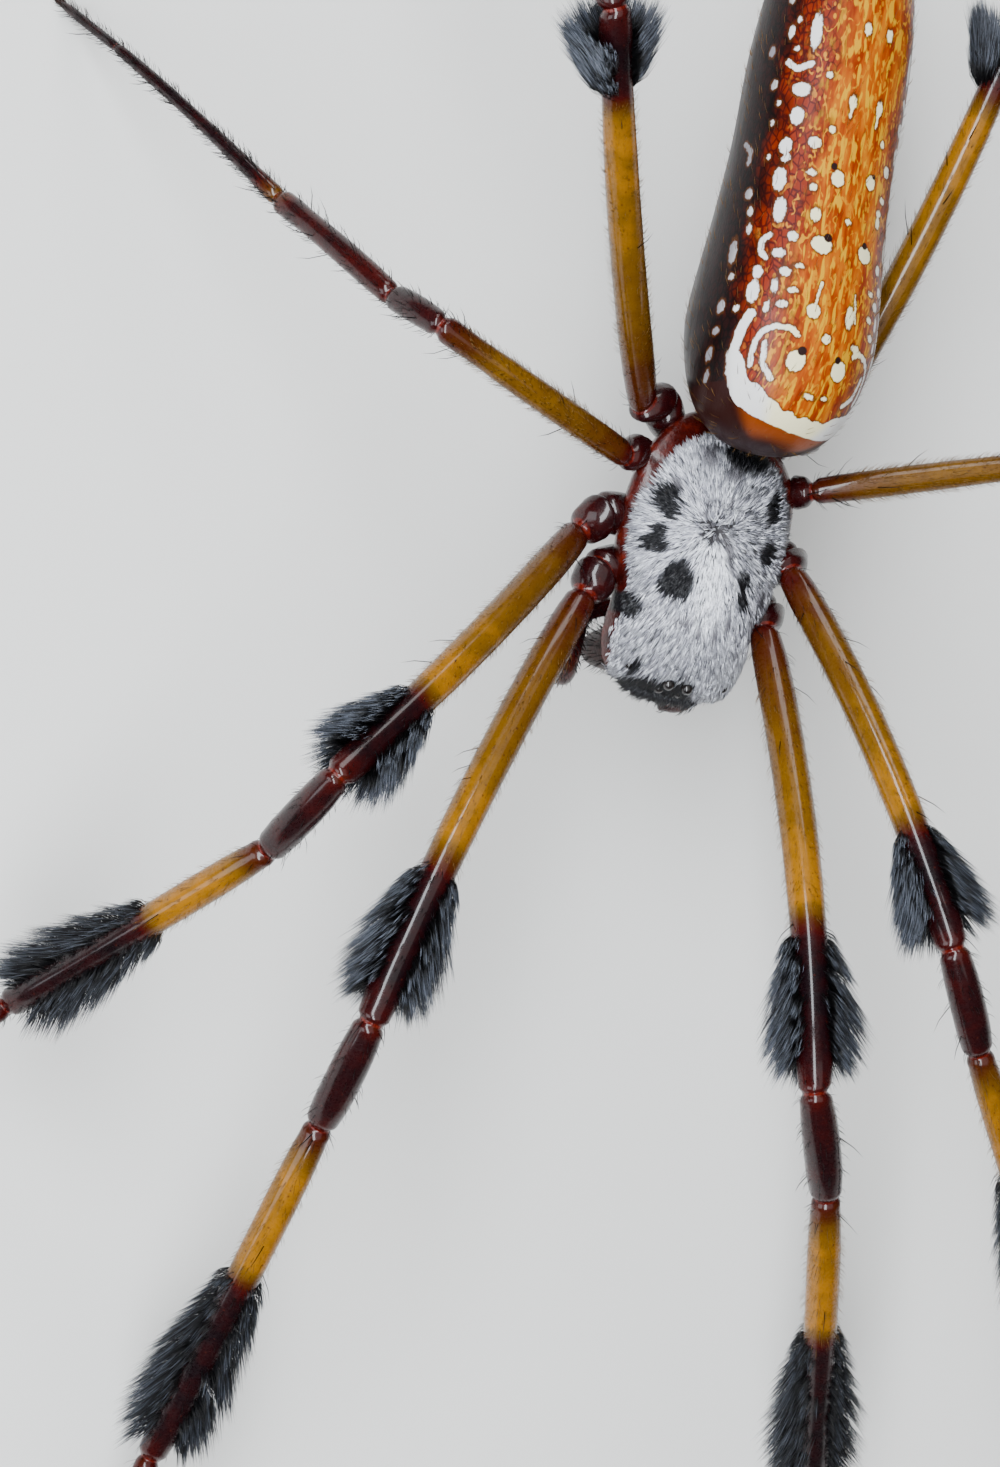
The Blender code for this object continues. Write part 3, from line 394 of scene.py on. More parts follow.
class Surface:
    """Closed grid of points, rows along the piece and columns round it, with a value for each point."""

    def __init__(self, points, values=None):
        self.points = points
        self.values = values or {}
        forward = np.gradient(points, axis=0)
        round_way = np.roll(points, -1, axis=1) - np.roll(points, 1, axis=1)
        cross = np.cross(round_way, forward)
        cross[0], cross[-1] = cross[1], cross[-2]
        self.normals = cross / np.maximum(np.linalg.norm(cross, axis=-1, keepdims=True), 1e-9)

    def sample(self, numbers, rows, columns):
        """Value between the grid's points at fractional rows and columns."""
        height, width = numbers.shape[:2]
        row = np.clip(rows.astype(int), 0, height - 2)
        column = columns.astype(int) % width
        right = (column + 1) % width
        down, across = rows - row, columns - np.floor(columns)
        if numbers.ndim == 3:
            down, across = down[:, None], across[:, None]
        upper = numbers[row, column] * (1 - across) + numbers[row, right] * across
        lower = numbers[row + 1, column] * (1 - across) + numbers[row + 1, right] * across
        return upper * (1 - down) + lower * down

    def scatter(self, random, count, weights=None):
        """Rows and columns of random places, even over the area times the weights."""
        forward = self.points[1:] - self.points[:-1]
        round_way = (np.roll(self.points, -1, axis=1) - self.points)[:-1]
        share = np.linalg.norm(np.cross(round_way, forward), axis=-1)
        if weights is not None:
            share = share * weights[:-1]
        cells = random.choice(share.size, count, p=share.ravel() / share.sum())
        rows, columns = np.unravel_index(cells, share.shape)
        return rows + random.random(count), columns + random.random(count)

    def make(self, name, material, slot, nodes=()):
        height, width = self.points.shape[:2]
        index = np.arange(height * width).reshape(height, width)
        right = np.roll(index, -1, axis=1)
        quads = np.stack([index[:-1], right[:-1], right[1:], index[1:]], axis=-1).reshape(-1, 4)
        first = np.stack([np.full(width, height * width), right[0], index[0]], axis=-1)
        last = np.stack([np.full(width, height * width + 1), index[-1], right[-1]], axis=-1)
        ends = np.stack([self.points[0].mean(axis=0), self.points[-1].mean(axis=0)])
        points = np.concatenate([self.points.reshape(-1, 3), ends])
        values = {}
        for label, numbers in self.values.items():
            ends = [numbers[0].mean(), numbers[-1].mean()]
            values[label] = np.concatenate([numbers.ravel(), ends])
        return make_mesh(name, points, [quads, first, last], values, material, nodes)[0]


def along_skin(ways, normals):
    """Unit vectors of the ways within the skin's plane."""
    return unit(ways - normals * (ways * normals).sum(axis=1, keepdims=True))


def hair(name, roots, normals, lies, lengths, widths, leans, places, values, material,
         sections=PLAIN_SECTIONS):
    """Closed tapered hairs that leave at the first lean from the normal and bow to the second."""
    count = len(roots)
    lies = along_skin(lies, normals)
    across = np.cross(normals, lies)
    start, end = (np.radians(np.broadcast_to(lean, count))[:, None] for lean in leans)
    lengths, widths = lengths[:, None], widths[:, None]
    point = roots - normals * ROOT_SINK
    rings, along = [], []
    travelled = 0.0
    for fraction, share in sections + [(1.0, 0.0)]:
        middle = start + (end - start) * (fraction + travelled) / 2
        way = normals * np.cos(middle) + lies * np.sin(middle)
        point = point + way * lengths * (fraction - travelled)
        travelled = fraction
        if share == 0.0:
            break
        lean = start + (end - start) * fraction
        face = normals * np.sin(lean) - lies * np.cos(lean)
        edge = across * widths * share / 2
        ridge = face * widths * share * RIDGE_SHARE
        rings += [point + edge, point + ridge, point - edge]
        along += [fraction] * 3
    points = np.stack(rings + [point], axis=1)
    clear = points[..., 2].min(axis=1) > 0.0
    points, places = points[clear], places[clear]
    count = len(points)
    along.append(1.0)
    size = len(along)
    faces = (np.arange(count)[:, None, None] * size + hair_faces(len(sections))[None]).reshape(-1, 3)
    spread = {label: np.repeat(numbers[clear], size) for label, numbers in values.items()}
    spread["along"] = np.tile(along, count)
    piece, loops = make_mesh(name, points.reshape(-1, 3), [faces], spread, material)
    sideways = np.array([1.0, 0.5, 0.0] * len(sections) + [0.5])
    offsets = np.stack([sideways, along], axis=1) * PATCH
    corner = np.repeat(places, size, axis=0) + np.tile(offsets, (count, 1))
    layer = piece.data.uv_layers.new(name="OFBake")
    layer.data.foreach_set("uv", corner[loops].astype(np.float32).ravel())


def hair_faces(rings):
    """Triangles of one hair: its root, the walls between three-sided rings, and its tip."""
    faces = [(0, 2, 1)]
    for k in range(rings - 1):
        for i in range(3):
            j = (i + 1) % 3
            faces += [(3 * k + i, 3 * k + j, 3 * k + 3 + j), (3 * k + i, 3 * k + 3 + j, 3 * k + 3 + i)]
    last = 3 * (rings - 1)
    faces += [(last + i, last + (i + 1) % 3, last + 3) for i in range(3)]
    return np.array(faces)


def clumps(random, each, spread, pull, roots, normals, lies, lengths):
    """Several hairs round each root, tips drawn together, and the number of each hair's clump."""
    number = np.repeat(np.arange(len(roots)), each)
    normals, lengths = normals[number], lengths[number]
    lies = along_skin(lies[number], normals)
    sideways, forward = random.normal(0, spread, (2, len(number), 1))
    across = np.cross(normals, lies)
    roots = roots[number] + across * sideways + lies * forward
    lies = lies - across * sideways * pull / lengths[:, None]
    return roots, normals, lies, lengths * random.uniform(0.85, 1.1, len(number)), number


def clump_places(random, places, number):
    """Places on the unwrap for the hairs of each clump, a little apart."""
    return places[number] + random.uniform(-PATCH, PATCH, (len(number), 2)) / 2


def unwrap(surface, rows, columns):
    """Place on an unwrap of the grid, inside the unit square."""
    height, width = surface.points.shape[:2]
    around, along = columns / width, rows / (height - 1)
    return np.stack([0.01 + 0.975 * around, 0.01 + 0.975 * along], axis=1)


def rooted(surface, rows, columns):
    """Points, normals and places on the unwrap, at fractional rows and columns."""
    points = surface.sample(surface.points, rows, columns)
    return points, unit(surface.sample(surface.normals, rows, columns)), unwrap(surface, rows, columns)


def fine_hair(random, name, surface, count, lengths, width, ways, material, weights=None,
              leans=(40.0, 70.0)):
    """Single hairs over a surface, lying along one way or along the way of each row."""
    rows, columns = surface.scatter(random, count, weights)
    if ways.ndim == 2:
        ways = ways[rows.astype(int)]
    lies = ways + random.normal(0, HAIR_DISORDER, (count, 3))
    roots, normals, places = rooted(surface, rows, columns)
    hair(name, roots, normals, lies, random.uniform(*lengths, count),
         width * random.uniform(0.8, 1.2, count), (random.normal(leans[0], LEAN_DISORDER, count), leans[1]),
         places, {"tone": random.random(count)}, material)


class Shader:
    """A Principled material and short ways to add nodes to it."""

    def __init__(self, name, **settings):
        self.material = bpy.data.materials.new(name)
        self.material.use_nodes = True
        self.tree = self.material.node_tree
        self.surface = self.tree.nodes["Principled BSDF"]
        for label, number in settings.items():
            self.surface.inputs[label.replace("_", " ").title().replace("Ior", "IOR")].default_value = number

    def node(self, kind, inputs=(), output=0, **settings):
        made = self.tree.nodes.new(kind)
        for label, setting in settings.items():
            setattr(made, label, setting)
        for socket, source in dict(inputs).items():
            self.set(made.inputs[socket], source)
        return made.outputs[output]

    def set(self, socket, source):
        if isinstance(source, bpy.types.NodeSocket):
            self.tree.links.new(source, socket)
        elif isinstance(source, tuple) and len(source) == 3 and socket.type == "RGBA":
            socket.default_value = (*source, 1.0)
        else:
            socket.default_value = source

    def value(self, name):
        return self.node("ShaderNodeAttribute", output="Fac", attribute_name=name)

    def maths(self, operation, first, second=0.0):
        return self.node("ShaderNodeMath", {0: first, 1: second}, operation=operation)

    def plus(self, first, second):
        return self.maths("ADD", first, second)

    def times(self, first, second):
        return self.maths("MULTIPLY", first, second)

    def grey(self, source):
        return self.node("ShaderNodeCombineColor", dict.fromkeys(range(3), source))

    def mix(self, share, first, second, blend="MIX"):
        inputs = {0: share, 6: first, 7: second}
        return self.node("ShaderNodeMix", inputs, output=2, data_type="RGBA", blend_type=blend)

    def between(self, source, low, high, out_low=0.0, out_high=1.0):
        inputs = {0: source, 1: low, 2: high, 3: out_low, 4: out_high}
        return self.node("ShaderNodeMapRange", inputs, interpolation_type="SMOOTHSTEP")

    def place(self):
        """Object position in millimetres."""
        position = self.node("ShaderNodeTexCoord", output="Object")
        return self.node("ShaderNodeVectorMath", {0: position, 1: (1 / MM,) * 3}, operation="MULTIPLY")

    def noise(self, vector, scale, detail=3.0, roughness=0.55):
        inputs = {"Vector": vector, "Scale": scale, "Detail": detail, "Roughness": roughness}
        return self.node("ShaderNodeTexNoise", inputs)

    def cells(self, vector, scale, feature="F1"):
        """Distance from the nearest cell's middle, or from its edge."""
        inputs = {"Vector": vector, "Scale": scale, "Randomness": 1.0}
        return self.node("ShaderNodeTexVoronoi", inputs, feature=feature)

    def ramp(self, source, stops):
        made = self.tree.nodes.new("ShaderNodeValToRGB")
        bar = made.color_ramp.elements
        while len(bar) < len(stops):
            bar.new(0.5)
        for element, (place, colour) in zip(bar, stops):
            element.position = place
            element.color = (*colour, 1.0)
        self.set(made.inputs[0], source)
        return made.outputs[0]

    def colour(self, source):
        self.set(self.surface.inputs["Base Color"], source)

    def rough(self, source):
        self.set(self.surface.inputs["Roughness"], source)

    def bump(self, height, distance, strength=1.0):
        """Bump of a height from 0 to 1, with its depth in millimetres."""
        inputs = {"Height": height, "Distance": distance * MM, "Strength": strength}
        self.set(self.surface.inputs["Normal"], self.node("ShaderNodeBump", inputs))


# Materials

def leg_material():
    """Amber cuticle that turns dark red and black along the leg, by its amber value."""
    shader = Shader("leg_cuticle", specular_ior_level=0.12, coat_weight=0.32, coat_roughness=0.08,
                    coat_ior=1.65)
    place = shader.place()
    mottle, fine = shader.noise(place, 1.1, 4.0), shader.noise(place, 9.0, 3.0)
    amber = shader.plus(shader.value("amber"), shader.between(mottle, 0.3, 0.7, -0.07, 0.07))
    dot = shader.between(shader.cells(place, 2.6), 0.08, 0.14, 0.7, 0.0)
    base = shader.mix(dot, shader.ramp(amber, CUTICLE_COLOURS), CUTICLE_DOT)
    skin = shader.mix(shader.between(fine, 0.35, 0.65), *MEMBRANE_REDS)
    membrane = shader.between(shader.value("membrane"), 0.6, 0.95, 0.0, 0.7)
    shader.colour(shader.mix(membrane, base, skin))
    shader.rough(shader.between(fine, 0.3, 0.7, 0.22, 0.36))
    shader.bump(shader.plus(mottle, shader.times(shader.noise(place, 16.0, 2.0), 0.4)), 0.02, 0.4)
    return shader.material


def hair_material(name, root, tip, roughness=0.45, variation=0.5, gloss=0.4):
    """Hair whose colour runs from root to tip, with a tone of its own for each hair."""
    shader = Shader(name, specular_ior_level=gloss)
    tone = shader.value("tone")
    run = shader.ramp(shader.value("along"), [(0.0, root), (0.45, root), (1.0, tip)])
    shade = shader.between(tone, 0.0, 1.0, 1.0 - variation, 1.0 + variation * 0.6)
    shader.colour(shader.mix(1.0, run, shader.grey(shade), "MULTIPLY"))
    shader.rough(shader.between(tone, 0.0, 1.0, roughness - 0.08, roughness + 0.08))
    return shader.material


def carapace_material():
    """Dark red cuticle, grey below the hair and black below its spots."""
    shader = Shader("carapace_cuticle", specular_ior_level=0.25, coat_weight=0.15, coat_roughness=0.15)
    place, haired = shader.place(), shader.value("haired")
    mottle = shader.noise(place, 1.6, 4.0)
    under = shader.mix(shader.between(mottle, 0.3, 0.7), *UNDERCOAT_GREYS)
    colour = shader.mix(shader.between(haired, 0.25, 0.75), shader.ramp(mottle, BARE_REDS), under)
    shader.colour(shader.mix(shader.between(shader.value("spot"), 0.35, 0.65), colour, SPOT_SKIN))
    shader.rough(shader.between(haired, 0.25, 0.75, 0.2, 0.6))
    shader.bump(shader.noise(place, 7.0, 4.0), 0.05, 0.6)
    return shader.material


def coat_material():
    """Silver hair of the carapace, black on the spots and grey in the grooves."""
    shader = Shader("silver_coat", specular_ior_level=0.5)
    shade = shader.between(shader.value("along"), 0.0, 0.45, 0.25, 1.0)
    silver = shader.mix(1.0, shader.ramp(shader.value("tone"), SILVERS), shader.grey(shade), "MULTIPLY")
    colour = shader.mix(shader.between(shader.value("grey"), 0.2, 0.8), silver, GROOVE_GREY)
    shader.colour(shader.mix(shader.between(shader.value("spot"), 0.44, 0.56), colour, SPOT_BLACK))
    shader.rough(0.42)
    return shader.material


def abdomen_material():
    """Golden back with yellow dashes, a red net with flecks beside it, flanks darkened partly in their own
    colour and partly with painted shade, and pale marks greyed low on the flank as painted shade.
    """
    shader = Shader("abdomen_skin", specular_ior_level=0.14)
    between, mix, noise, value = shader.between, shader.mix, shader.noise, shader.value
    along, girth, flank = value("along"), value("girth"), value("flank")
    flat, drawn = (shader.node("ShaderNodeCombineXYZ", {0: girth, 1: shader.times(along, squeeze)})
                   for squeeze in (0.55, 0.2))
    uneven = shader.plus(flank, between(noise(flat, 1.1, 3.0), 0.3, 0.7, -0.09, 0.09))
    streak = noise(drawn, 2.2, 3.0, 0.6)
    dash = between(noise(drawn, 5.2, 1.5, 0.5), 0.54, 0.6, 0.0, 0.9)
    vein = between(shader.cells(flat, 4.4, "DISTANCE_TO_EDGE"), 0.02, 0.16)
    gold = mix(dash, shader.ramp(streak, GOLDS), DASH_YELLOW)
    colour = mix(between(uneven, 0.2, 0.44), gold, mix(vein, *NET_RUSTS))
    # The flanks darken towards the belly, partly in their own colour and partly as painted shade.
    colour = mix(between(uneven, 0.5, 0.8), colour, mix(vein, *FLANK_DARKS_AND_SHADE))
    present = between(noise(flat, 1.7, 1.0), 0.36, 0.46)
    beads = shader.times(between(shader.cells(flat, 3.9), 0.2, 0.3, 1.0, 0.0), present)
    winding = shader.maths("ABSOLUTE", shader.maths("SUBTRACT", noise(flat, 2.3, 1.5), 0.5))
    broken = between(noise(flat, 3.1, 1.0), 0.48, 0.56)
    worms = shader.times(between(winding, 0.018, 0.04, 1.0, 0.0), broken)
    zone = shader.times(between(uneven, 0.02, 0.3, 0.45, 0.85), between(uneven, 0.45, 0.62, 1.0, 0.0))
    fleck = shader.times(shader.maths("MAXIMUM", beads, worms), zone)
    colour = mix(fleck, colour, mix(between(uneven, 0.25, 0.6), *FLECK_YELLOWS))
    mark = shader.plus(value("mark"), between(noise(flat, 9.0, 2.0), 0.3, 0.7, -0.025, 0.025))
    colour = mix(between(mark, -0.1, -0.03, 0.0, 0.75), colour, OUTLINE_BROWN)
    cream = mix(between(flank, 0.25, 0.45), BACK_CREAM, FLANK_CREAM)
    # Pale marks turn grey low on the flank: painted shade.
    cream = mix(between(flank, 0.66, 0.85), cream, FLANK_SHADE_GREY)
    colour = mix(between(mark, -0.02, 0.03), colour, cream)
    colour = mix(between(value("dot"), -0.03, 0.02), colour, DOT_BLACK)
    bright = shader.times(between(along, 0.6, 1.7), between(flank, 0.5, 0.72, 1.0, 0.0))
    front = mix(bright, POLE_BROWN, BAND_ORANGE)
    shader.colour(mix(between(value("front"), 0.0, 0.08), colour, front))
    shader.rough(between(streak, 0.3, 0.7, 0.3, 0.42))
    shader.bump(shader.plus(streak, shader.times(noise(flat, 11.0, 3.0), 0.5)), 0.03, 0.4)
    return shader.material


def black_material(name, colour, roughness, bump=0.0, gloss=0.35):
    """Near-black cuticle with a faint lighter mottle."""
    shader = Shader(name, specular_ior_level=gloss, coat_weight=gloss, coat_roughness=0.08)
    place = shader.place()
    mottle = shader.noise(place, 2.2, 4.0)
    lighter = tuple(channel * 3.0 + 0.004 for channel in colour)
    shader.colour(shader.mix(shader.between(mottle, 0.35, 0.75), colour, lighter))
    shader.rough(shader.between(mottle, 0.3, 0.7, roughness, roughness + 0.12))
    if bump:
        shader.bump(shader.noise(place, 8.0, 3.0), bump, 0.5)
    return shader.material


# Cephalothorax

# Hair field: half width by place, and black and grey ovals in it: sideways, lengthwise, half sizes
HAIR_EDGE = [(-6.5, 2.3), (-5.5, 2.72), (-4.5, 2.8), (-3.6, 2.75), (-3.0, 2.85), (-1.4, 3.2),
             (-0.2, 3.2), (1.5, 2.5),
             (2.4, 1.8), (2.9, 1.0), (3.2, 0.1)]
CARAPACE_SPOTS = [
    (-2.4, 0.42, 0.56, 0.56), (-2.12, -0.02, 0.36, 0.4), (-2.5, -1.35, 0.62, 0.34),
    (-2.4, -1.0, 0.34, 0.44),
    (-1.37, -2.45, 0.64, 0.78), (-1.62, -2.85, 0.48, 0.4), (2.25, 1.0, 0.32, 0.7),
    (2.4, -0.72, 0.36, 0.48),
    # The black oval at (0.65, 2.6) behind the thorax is partly dark hair and partly painted shadow of the
    # abdomen.
    (1.46, -2.25, 0.32, 0.78), (0.65, 2.6, 1.05, 0.55), (-2.75, -3.75, 0.44, 0.4),
    (-1.95, -5.9, 0.2, 0.4),
    (-1.0, -6.55, 1.1, 0.36), (0.2, -6.5, 0.6, 0.42), (-0.4, -6.95, 2.2, 0.36),
]
CARAPACE_GREYS = [
    (-2.12, 0.85, 0.3, 0.34), (-0.96, 2.3, 0.42, 0.46), (-0.39, -0.17, 0.2, 0.26),
    (-0.62, 0.3, 0.12, 0.6),
    (0.34, 0.0, 0.2, 0.36), (0.28, 0.55, 0.12, 0.6), (0.8, 0.35, 0.14, 0.6), (0.75, -1.1, 0.2, 0.6),
    (0.1, -0.75, 0.5, 0.2), (-0.9, -3.95, 0.5, 0.14), (0.5, -4.1, 0.12, 0.36), (-0.2, -4.2, 0.1, 0.3),
    (1.0, -3.7, 0.12, 0.4), (2.45, -2.4, 0.24, 0.36), (0.2, 1.9, 0.5, 0.3),
]
# A lighter stripe along the raised midline of the carapace: painted light on the hair.
PAINTED_LIGHT_STRIPE = [(0.0, -2.0, 0.55, 1.5)]


def carapace_marks(marks, x, y):
    """How far inside the nearest oval mark a point is: 1 at its middle, 0.5 on its edge, 0 outside."""
    best = np.zeros_like(x)
    for across, forward, half_x, half_y in marks:
        reach = np.hypot((x - across) / half_x, (y - forward) / half_y)
        best = np.maximum(best, np.clip(1.0 - 0.5 * reach, 0.0, 1.0))
    return best


def carapace_surface():
    """Cephalothorax skin with raised head, sunk grooves and smooth rim, and its points from the fovea."""
    places = np.linspace(CARAPACE_RIM[0][0], CARAPACE_RIM[-1][0], CARAPACE_ROWS)[:, None]
    angles = (-math.pi / 2 + 2 * math.pi * np.arange(CARAPACE_COLUMNS) / CARAPACE_COLUMNS)[None]
    across, height = -np.cos(angles), np.sin(angles)
    upward, downward = np.maximum(height, 0), np.maximum(-height, 0)
    rim, sole = curve(CARAPACE_RIM, places), curve(CARAPACE_SOLE, places)
    crown = curve(CARAPACE_CROWN, places) - COAT_DEPTH
    power = np.where(height >= 0, CROWN_POWER, UNDERSIDE_POWER)
    x = curve(CARAPACE_HALF_WIDTHS, places) * np.sign(across) * np.abs(across) ** (2 / power)
    y = np.broadcast_to(places, x.shape)
    arch = rim + (crown - rim) * upward ** (2 / power)
    keel = np.maximum(sole, rim - SOLE_DEPTH * (rim - sole) * downward ** (2 / power))
    z = np.where(height >= 0, arch, keel) - ramp(0.05, 0.5, upward + 0 * x) * groove_depth(x, y)
    points = close_ends(np.stack([x, y, z], axis=-1), END_ROUNDING)
    x, y, z = np.moveaxis(points, -1, 0)
    haired = ramp(0.0, 0.12, np.broadcast_to(upward, x.shape))
    haired = haired * ramp(0.06, -0.12, np.abs(x) - curve(HAIR_EDGE, y)) * ramp(3.2, 3.0, y)
    spot = carapace_marks(CARAPACE_SPOTS, x, y) * (z > curve(CARAPACE_RIM, y))
    return Surface(from_carapace(points), {"haired": haired, "spot": spot}), points


def groove_depth(x, y):
    """Grooves between head and thorax, from the fovea to the legs, and the fovea's own pit."""
    depth = np.zeros_like(x)
    for start, end, deep, wide in GROOVES:
        depth = depth + deep * np.exp(-(segment_distance(np.abs(x), y, start, end) / wide) ** 2)
    pit = np.exp(-(x / PIT_HALF_WIDTH) ** 2 - ((y - PIT_PLACE) / PIT_HALF_LENGTH) ** 2)
    return depth + PIT_DEPTH * pit


def close_ends(points, depth, steps=7):
    """Round the first and last rows off towards their middles."""
    rows = [points]
    for row, outward, first in ((points[0], points[0].mean(0) - points[1].mean(0), True),
                                (points[-1], points[-1].mean(0) - points[-2].mean(0), False)):
        way = unit(outward)
        middle = row.mean(axis=0)
        caps = []
        for step in range(1, steps):
            turn = math.pi / 2 * step / steps
            caps.append(middle + (row - middle) * math.cos(turn) + way * depth * math.sin(turn))
        block = np.stack(caps)
        rows = [block[::-1]] + rows if first else rows + [block]
    return np.concatenate(rows)


def straight_surface(start, end, profile, columns=28, rows=40):
    """Turned piece between two points in the row frame."""
    places = 0.5 - 0.5 * np.cos(np.linspace(0.05, 1, rows) * math.pi)
    axes = axes_along(unit(end - start))
    angles = 2 * math.pi * np.arange(columns) / columns
    radii = curve(profile, places)
    ring = np.stack([np.cos(angles), np.sin(angles), 0 * angles], axis=-1) @ axes.T
    centres = start + (end - start) * places[:, None]
    return Surface(centres[:, None] + ring[None] * radii[:, None, None])


def ellipsoid_surface(centre, half_sizes, turn, rows=18, columns=24):
    angles = 2 * math.pi * np.arange(columns) / columns
    rises = math.pi * (np.arange(rows) + 0.5) / rows
    x = np.outer(np.sin(rises), np.cos(angles)) * half_sizes[0]
    y = np.outer(np.sin(rises), np.sin(angles)) * half_sizes[1]
    z = np.outer(-np.cos(rises), np.ones(columns)) * half_sizes[2]
    return Surface(turn(np.stack([x, y, z], axis=-1) + np.asarray(centre)))


def path_surface(path, radii, turn, columns=20, rows=60):
    """Tube along a smooth curve through points given in a body's frame."""
    path = np.asarray(path, float)
    marks = np.linspace(0, 1, len(path))
    places = np.linspace(0, 1, rows)
    centres = np.stack([curve(list(zip(marks, path[:, axis])), places) for axis in range(3)], axis=-1)
    centres = turn(centres)
    size = curve(list(zip(marks, radii)), places)
    ways = unit(np.gradient(centres, axis=0))
    angles = 2 * math.pi * np.arange(columns) / columns
    rings = []
    for centre, way, radius in zip(centres, ways, size):
        axes = axes_along(way)
        ring = np.stack([np.cos(angles), np.sin(angles), 0 * angles], axis=-1) @ axes.T
        rings.append(centre + ring * radius)
    return Surface(np.stack(rings))


def join(name, surfaces, material, slot, nodes=()):
    """Several closed surfaces as one piece."""
    made = [surface.make(f"{name}_{index}", material, slot) for index, surface in enumerate(surfaces)]
    with bpy.context.temp_override(active_object=made[0], selected_editable_objects=made):
        bpy.ops.object.join()
    made[0].name = name
    if nodes:
        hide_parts(*nodes)
    return made[0]


def cephalothorax(random, materials):
    surface, local = carapace_surface()
    surface.make("cephalothorax_skin", materials["carapace"], "carapace_hair", ["cephalothorax"])
    raised = [ellipsoid_surface(*LABIUM, from_carapace), ellipsoid_surface(*STERNUM_HUMP, from_carapace)]
    for side in SIDES:
        raised.append(ellipsoid_surface(mirrored(ENDITE[0], side), ENDITE[1], from_carapace))
        horn(side, random, materials)
    join("mouthparts", raised, materials["jaw"], "jaw_cuticle")
    carapace_coat(random, surface, local, materials)


def horn(side, random, materials):
    """Small horn behind the fovea, hidden in grey hair that lies back from it."""
    foot = mirrored(HORN, side)
    tip = foot + np.array([0.0, 0.12, HORN_HEIGHT])
    profile = [(place, HORN_RADIUS * share) for place, share in HORN_TAPER]
    surface = straight_surface(from_carapace(foot), from_carapace(tip), profile, 20, 16)
    surface.values = {"haired": np.ones(surface.points.shape[:2])}
    surface.make(f"horn_{side}", materials["carapace"], "carapace_hair")
    rows, columns = surface.scatter(random, HORN_HAIRS)
    roots, normals, places = rooted(surface, rows, columns)
    values = {"tone": random.uniform(0.2, 1.0, HORN_HAIRS), "grey": random.uniform(0.0, 0.7, HORN_HAIRS)}
    back = CARAPACE_TURN @ np.array([0.0, 1.0, 0.15])
    lies = back + random.normal(0, 0.2, (HORN_HAIRS, 3))
    lengths, widths = random.uniform(0.35, 0.6, HORN_HAIRS), random.uniform(0.04, 0.06, HORN_HAIRS)
    hair(f"horn_hair_{side}", roots, normals, lies, lengths, widths,
         (random.uniform(40, 60, HORN_HAIRS), 95.0), places, values, materials["coat"],
         HORN_HAIR_SECTIONS)


def carapace_coat(random, surface, local, materials):
    """Silver hair lying away from the fovea on the thorax and forward on the head, in two halves."""
    off_fovea = np.hypot(local[..., 0], local[..., 1] + COAT_CENTRE)
    dense = surface.values["haired"] * np.where(surface.values["spot"] > 0.5, 0.8, 1.0)
    dense = dense * rise_from(0.4, 0.2, 0.7, off_fovea)
    for side in SIDES:
        sign = 1.0 if side == "left" else -1.0
        weights = dense * (local[..., 0] * sign > 0)
        weights = (weights + np.roll(weights, -1, axis=1)) / 2
        rows, columns = surface.scatter(random, CARAPACE_CLUMPS, weights)
        roots, normals, places = rooted(surface, rows, columns)
        place = surface.sample(local, rows, columns)
        x, y = place[:, 0], place[:, 1]
        head = ramp(-1.2, -3.4, y)[:, None]
        away = unit(np.stack([x * 0.8, y + COAT_CENTRE, 0 * x], axis=-1))
        forward = np.stack([x * 0.28, -np.ones_like(x), 0 * x], axis=-1)
        lie = away * (1 - head) + forward * head
        lie = unit(lie + random.normal(0, 0.16, lie.shape) * [1, 1, 0])
        length = random.uniform(*COAT_LENGTHS, len(x))
        length = length * rise_from(0.5, 0.0, 0.5, curve(HAIR_EDGE, y) - np.abs(x))
        length = length * rise_from(0.5, 0.1, 0.9, np.hypot(x, y + COAT_CENTRE))
        length = length * np.where(y > 2.2, 0.7, 1.0)
        middle = place + lie * length[:, None] * 0.6
        x, y = middle[:, 0], middle[:, 1]
        tone = random.random(len(x))
        roots, normals, lie, length, number = clumps(random, CARAPACE_CLUMP_HAIRS, 0.05, 0.7, roots, normals,
                                                     lie @ CARAPACE_TURN.T, length)
        count = len(number)
        # Hairs on the midline stripe are lightened: painted light.
        bright = 0.45 * carapace_marks(PAINTED_LIGHT_STRIPE, x, y)[number]
        is_dark = random.random(count) < DARK_HAIR_SHARE
        light = np.clip(0.12 + 0.4 * tone[number] + 0.5 * random.random(count) + bright, 0, 1)
        values = {
            "tone": np.where(is_dark, 0.0, light),
            "spot": carapace_marks(CARAPACE_SPOTS, x, y)[number],
            "grey": carapace_marks(CARAPACE_GREYS, x, y)[number],
        }
        places = clump_places(random, places, number)
        hair(f"carapace_coat_{side}", roots, normals, lie, length, random.uniform(*COAT_WIDTHS, count),
             (random.uniform(68, 80, count), 93.0), places, values, materials["coat"],
             CLUMP_SECTIONS)


def eyes(materials):
    for name, sideways, forward, up, radius in EYES:
        for side in SIDES:
            centre = mirrored((sideways, forward, up), side)
            surface = ellipsoid_surface(centre, (radius,) * 3, from_carapace, 24, 32)
            surface.make(f"eye_lens_{name}_{side}", materials["eye"], "eye", [f"eye_{name}_{side}"])


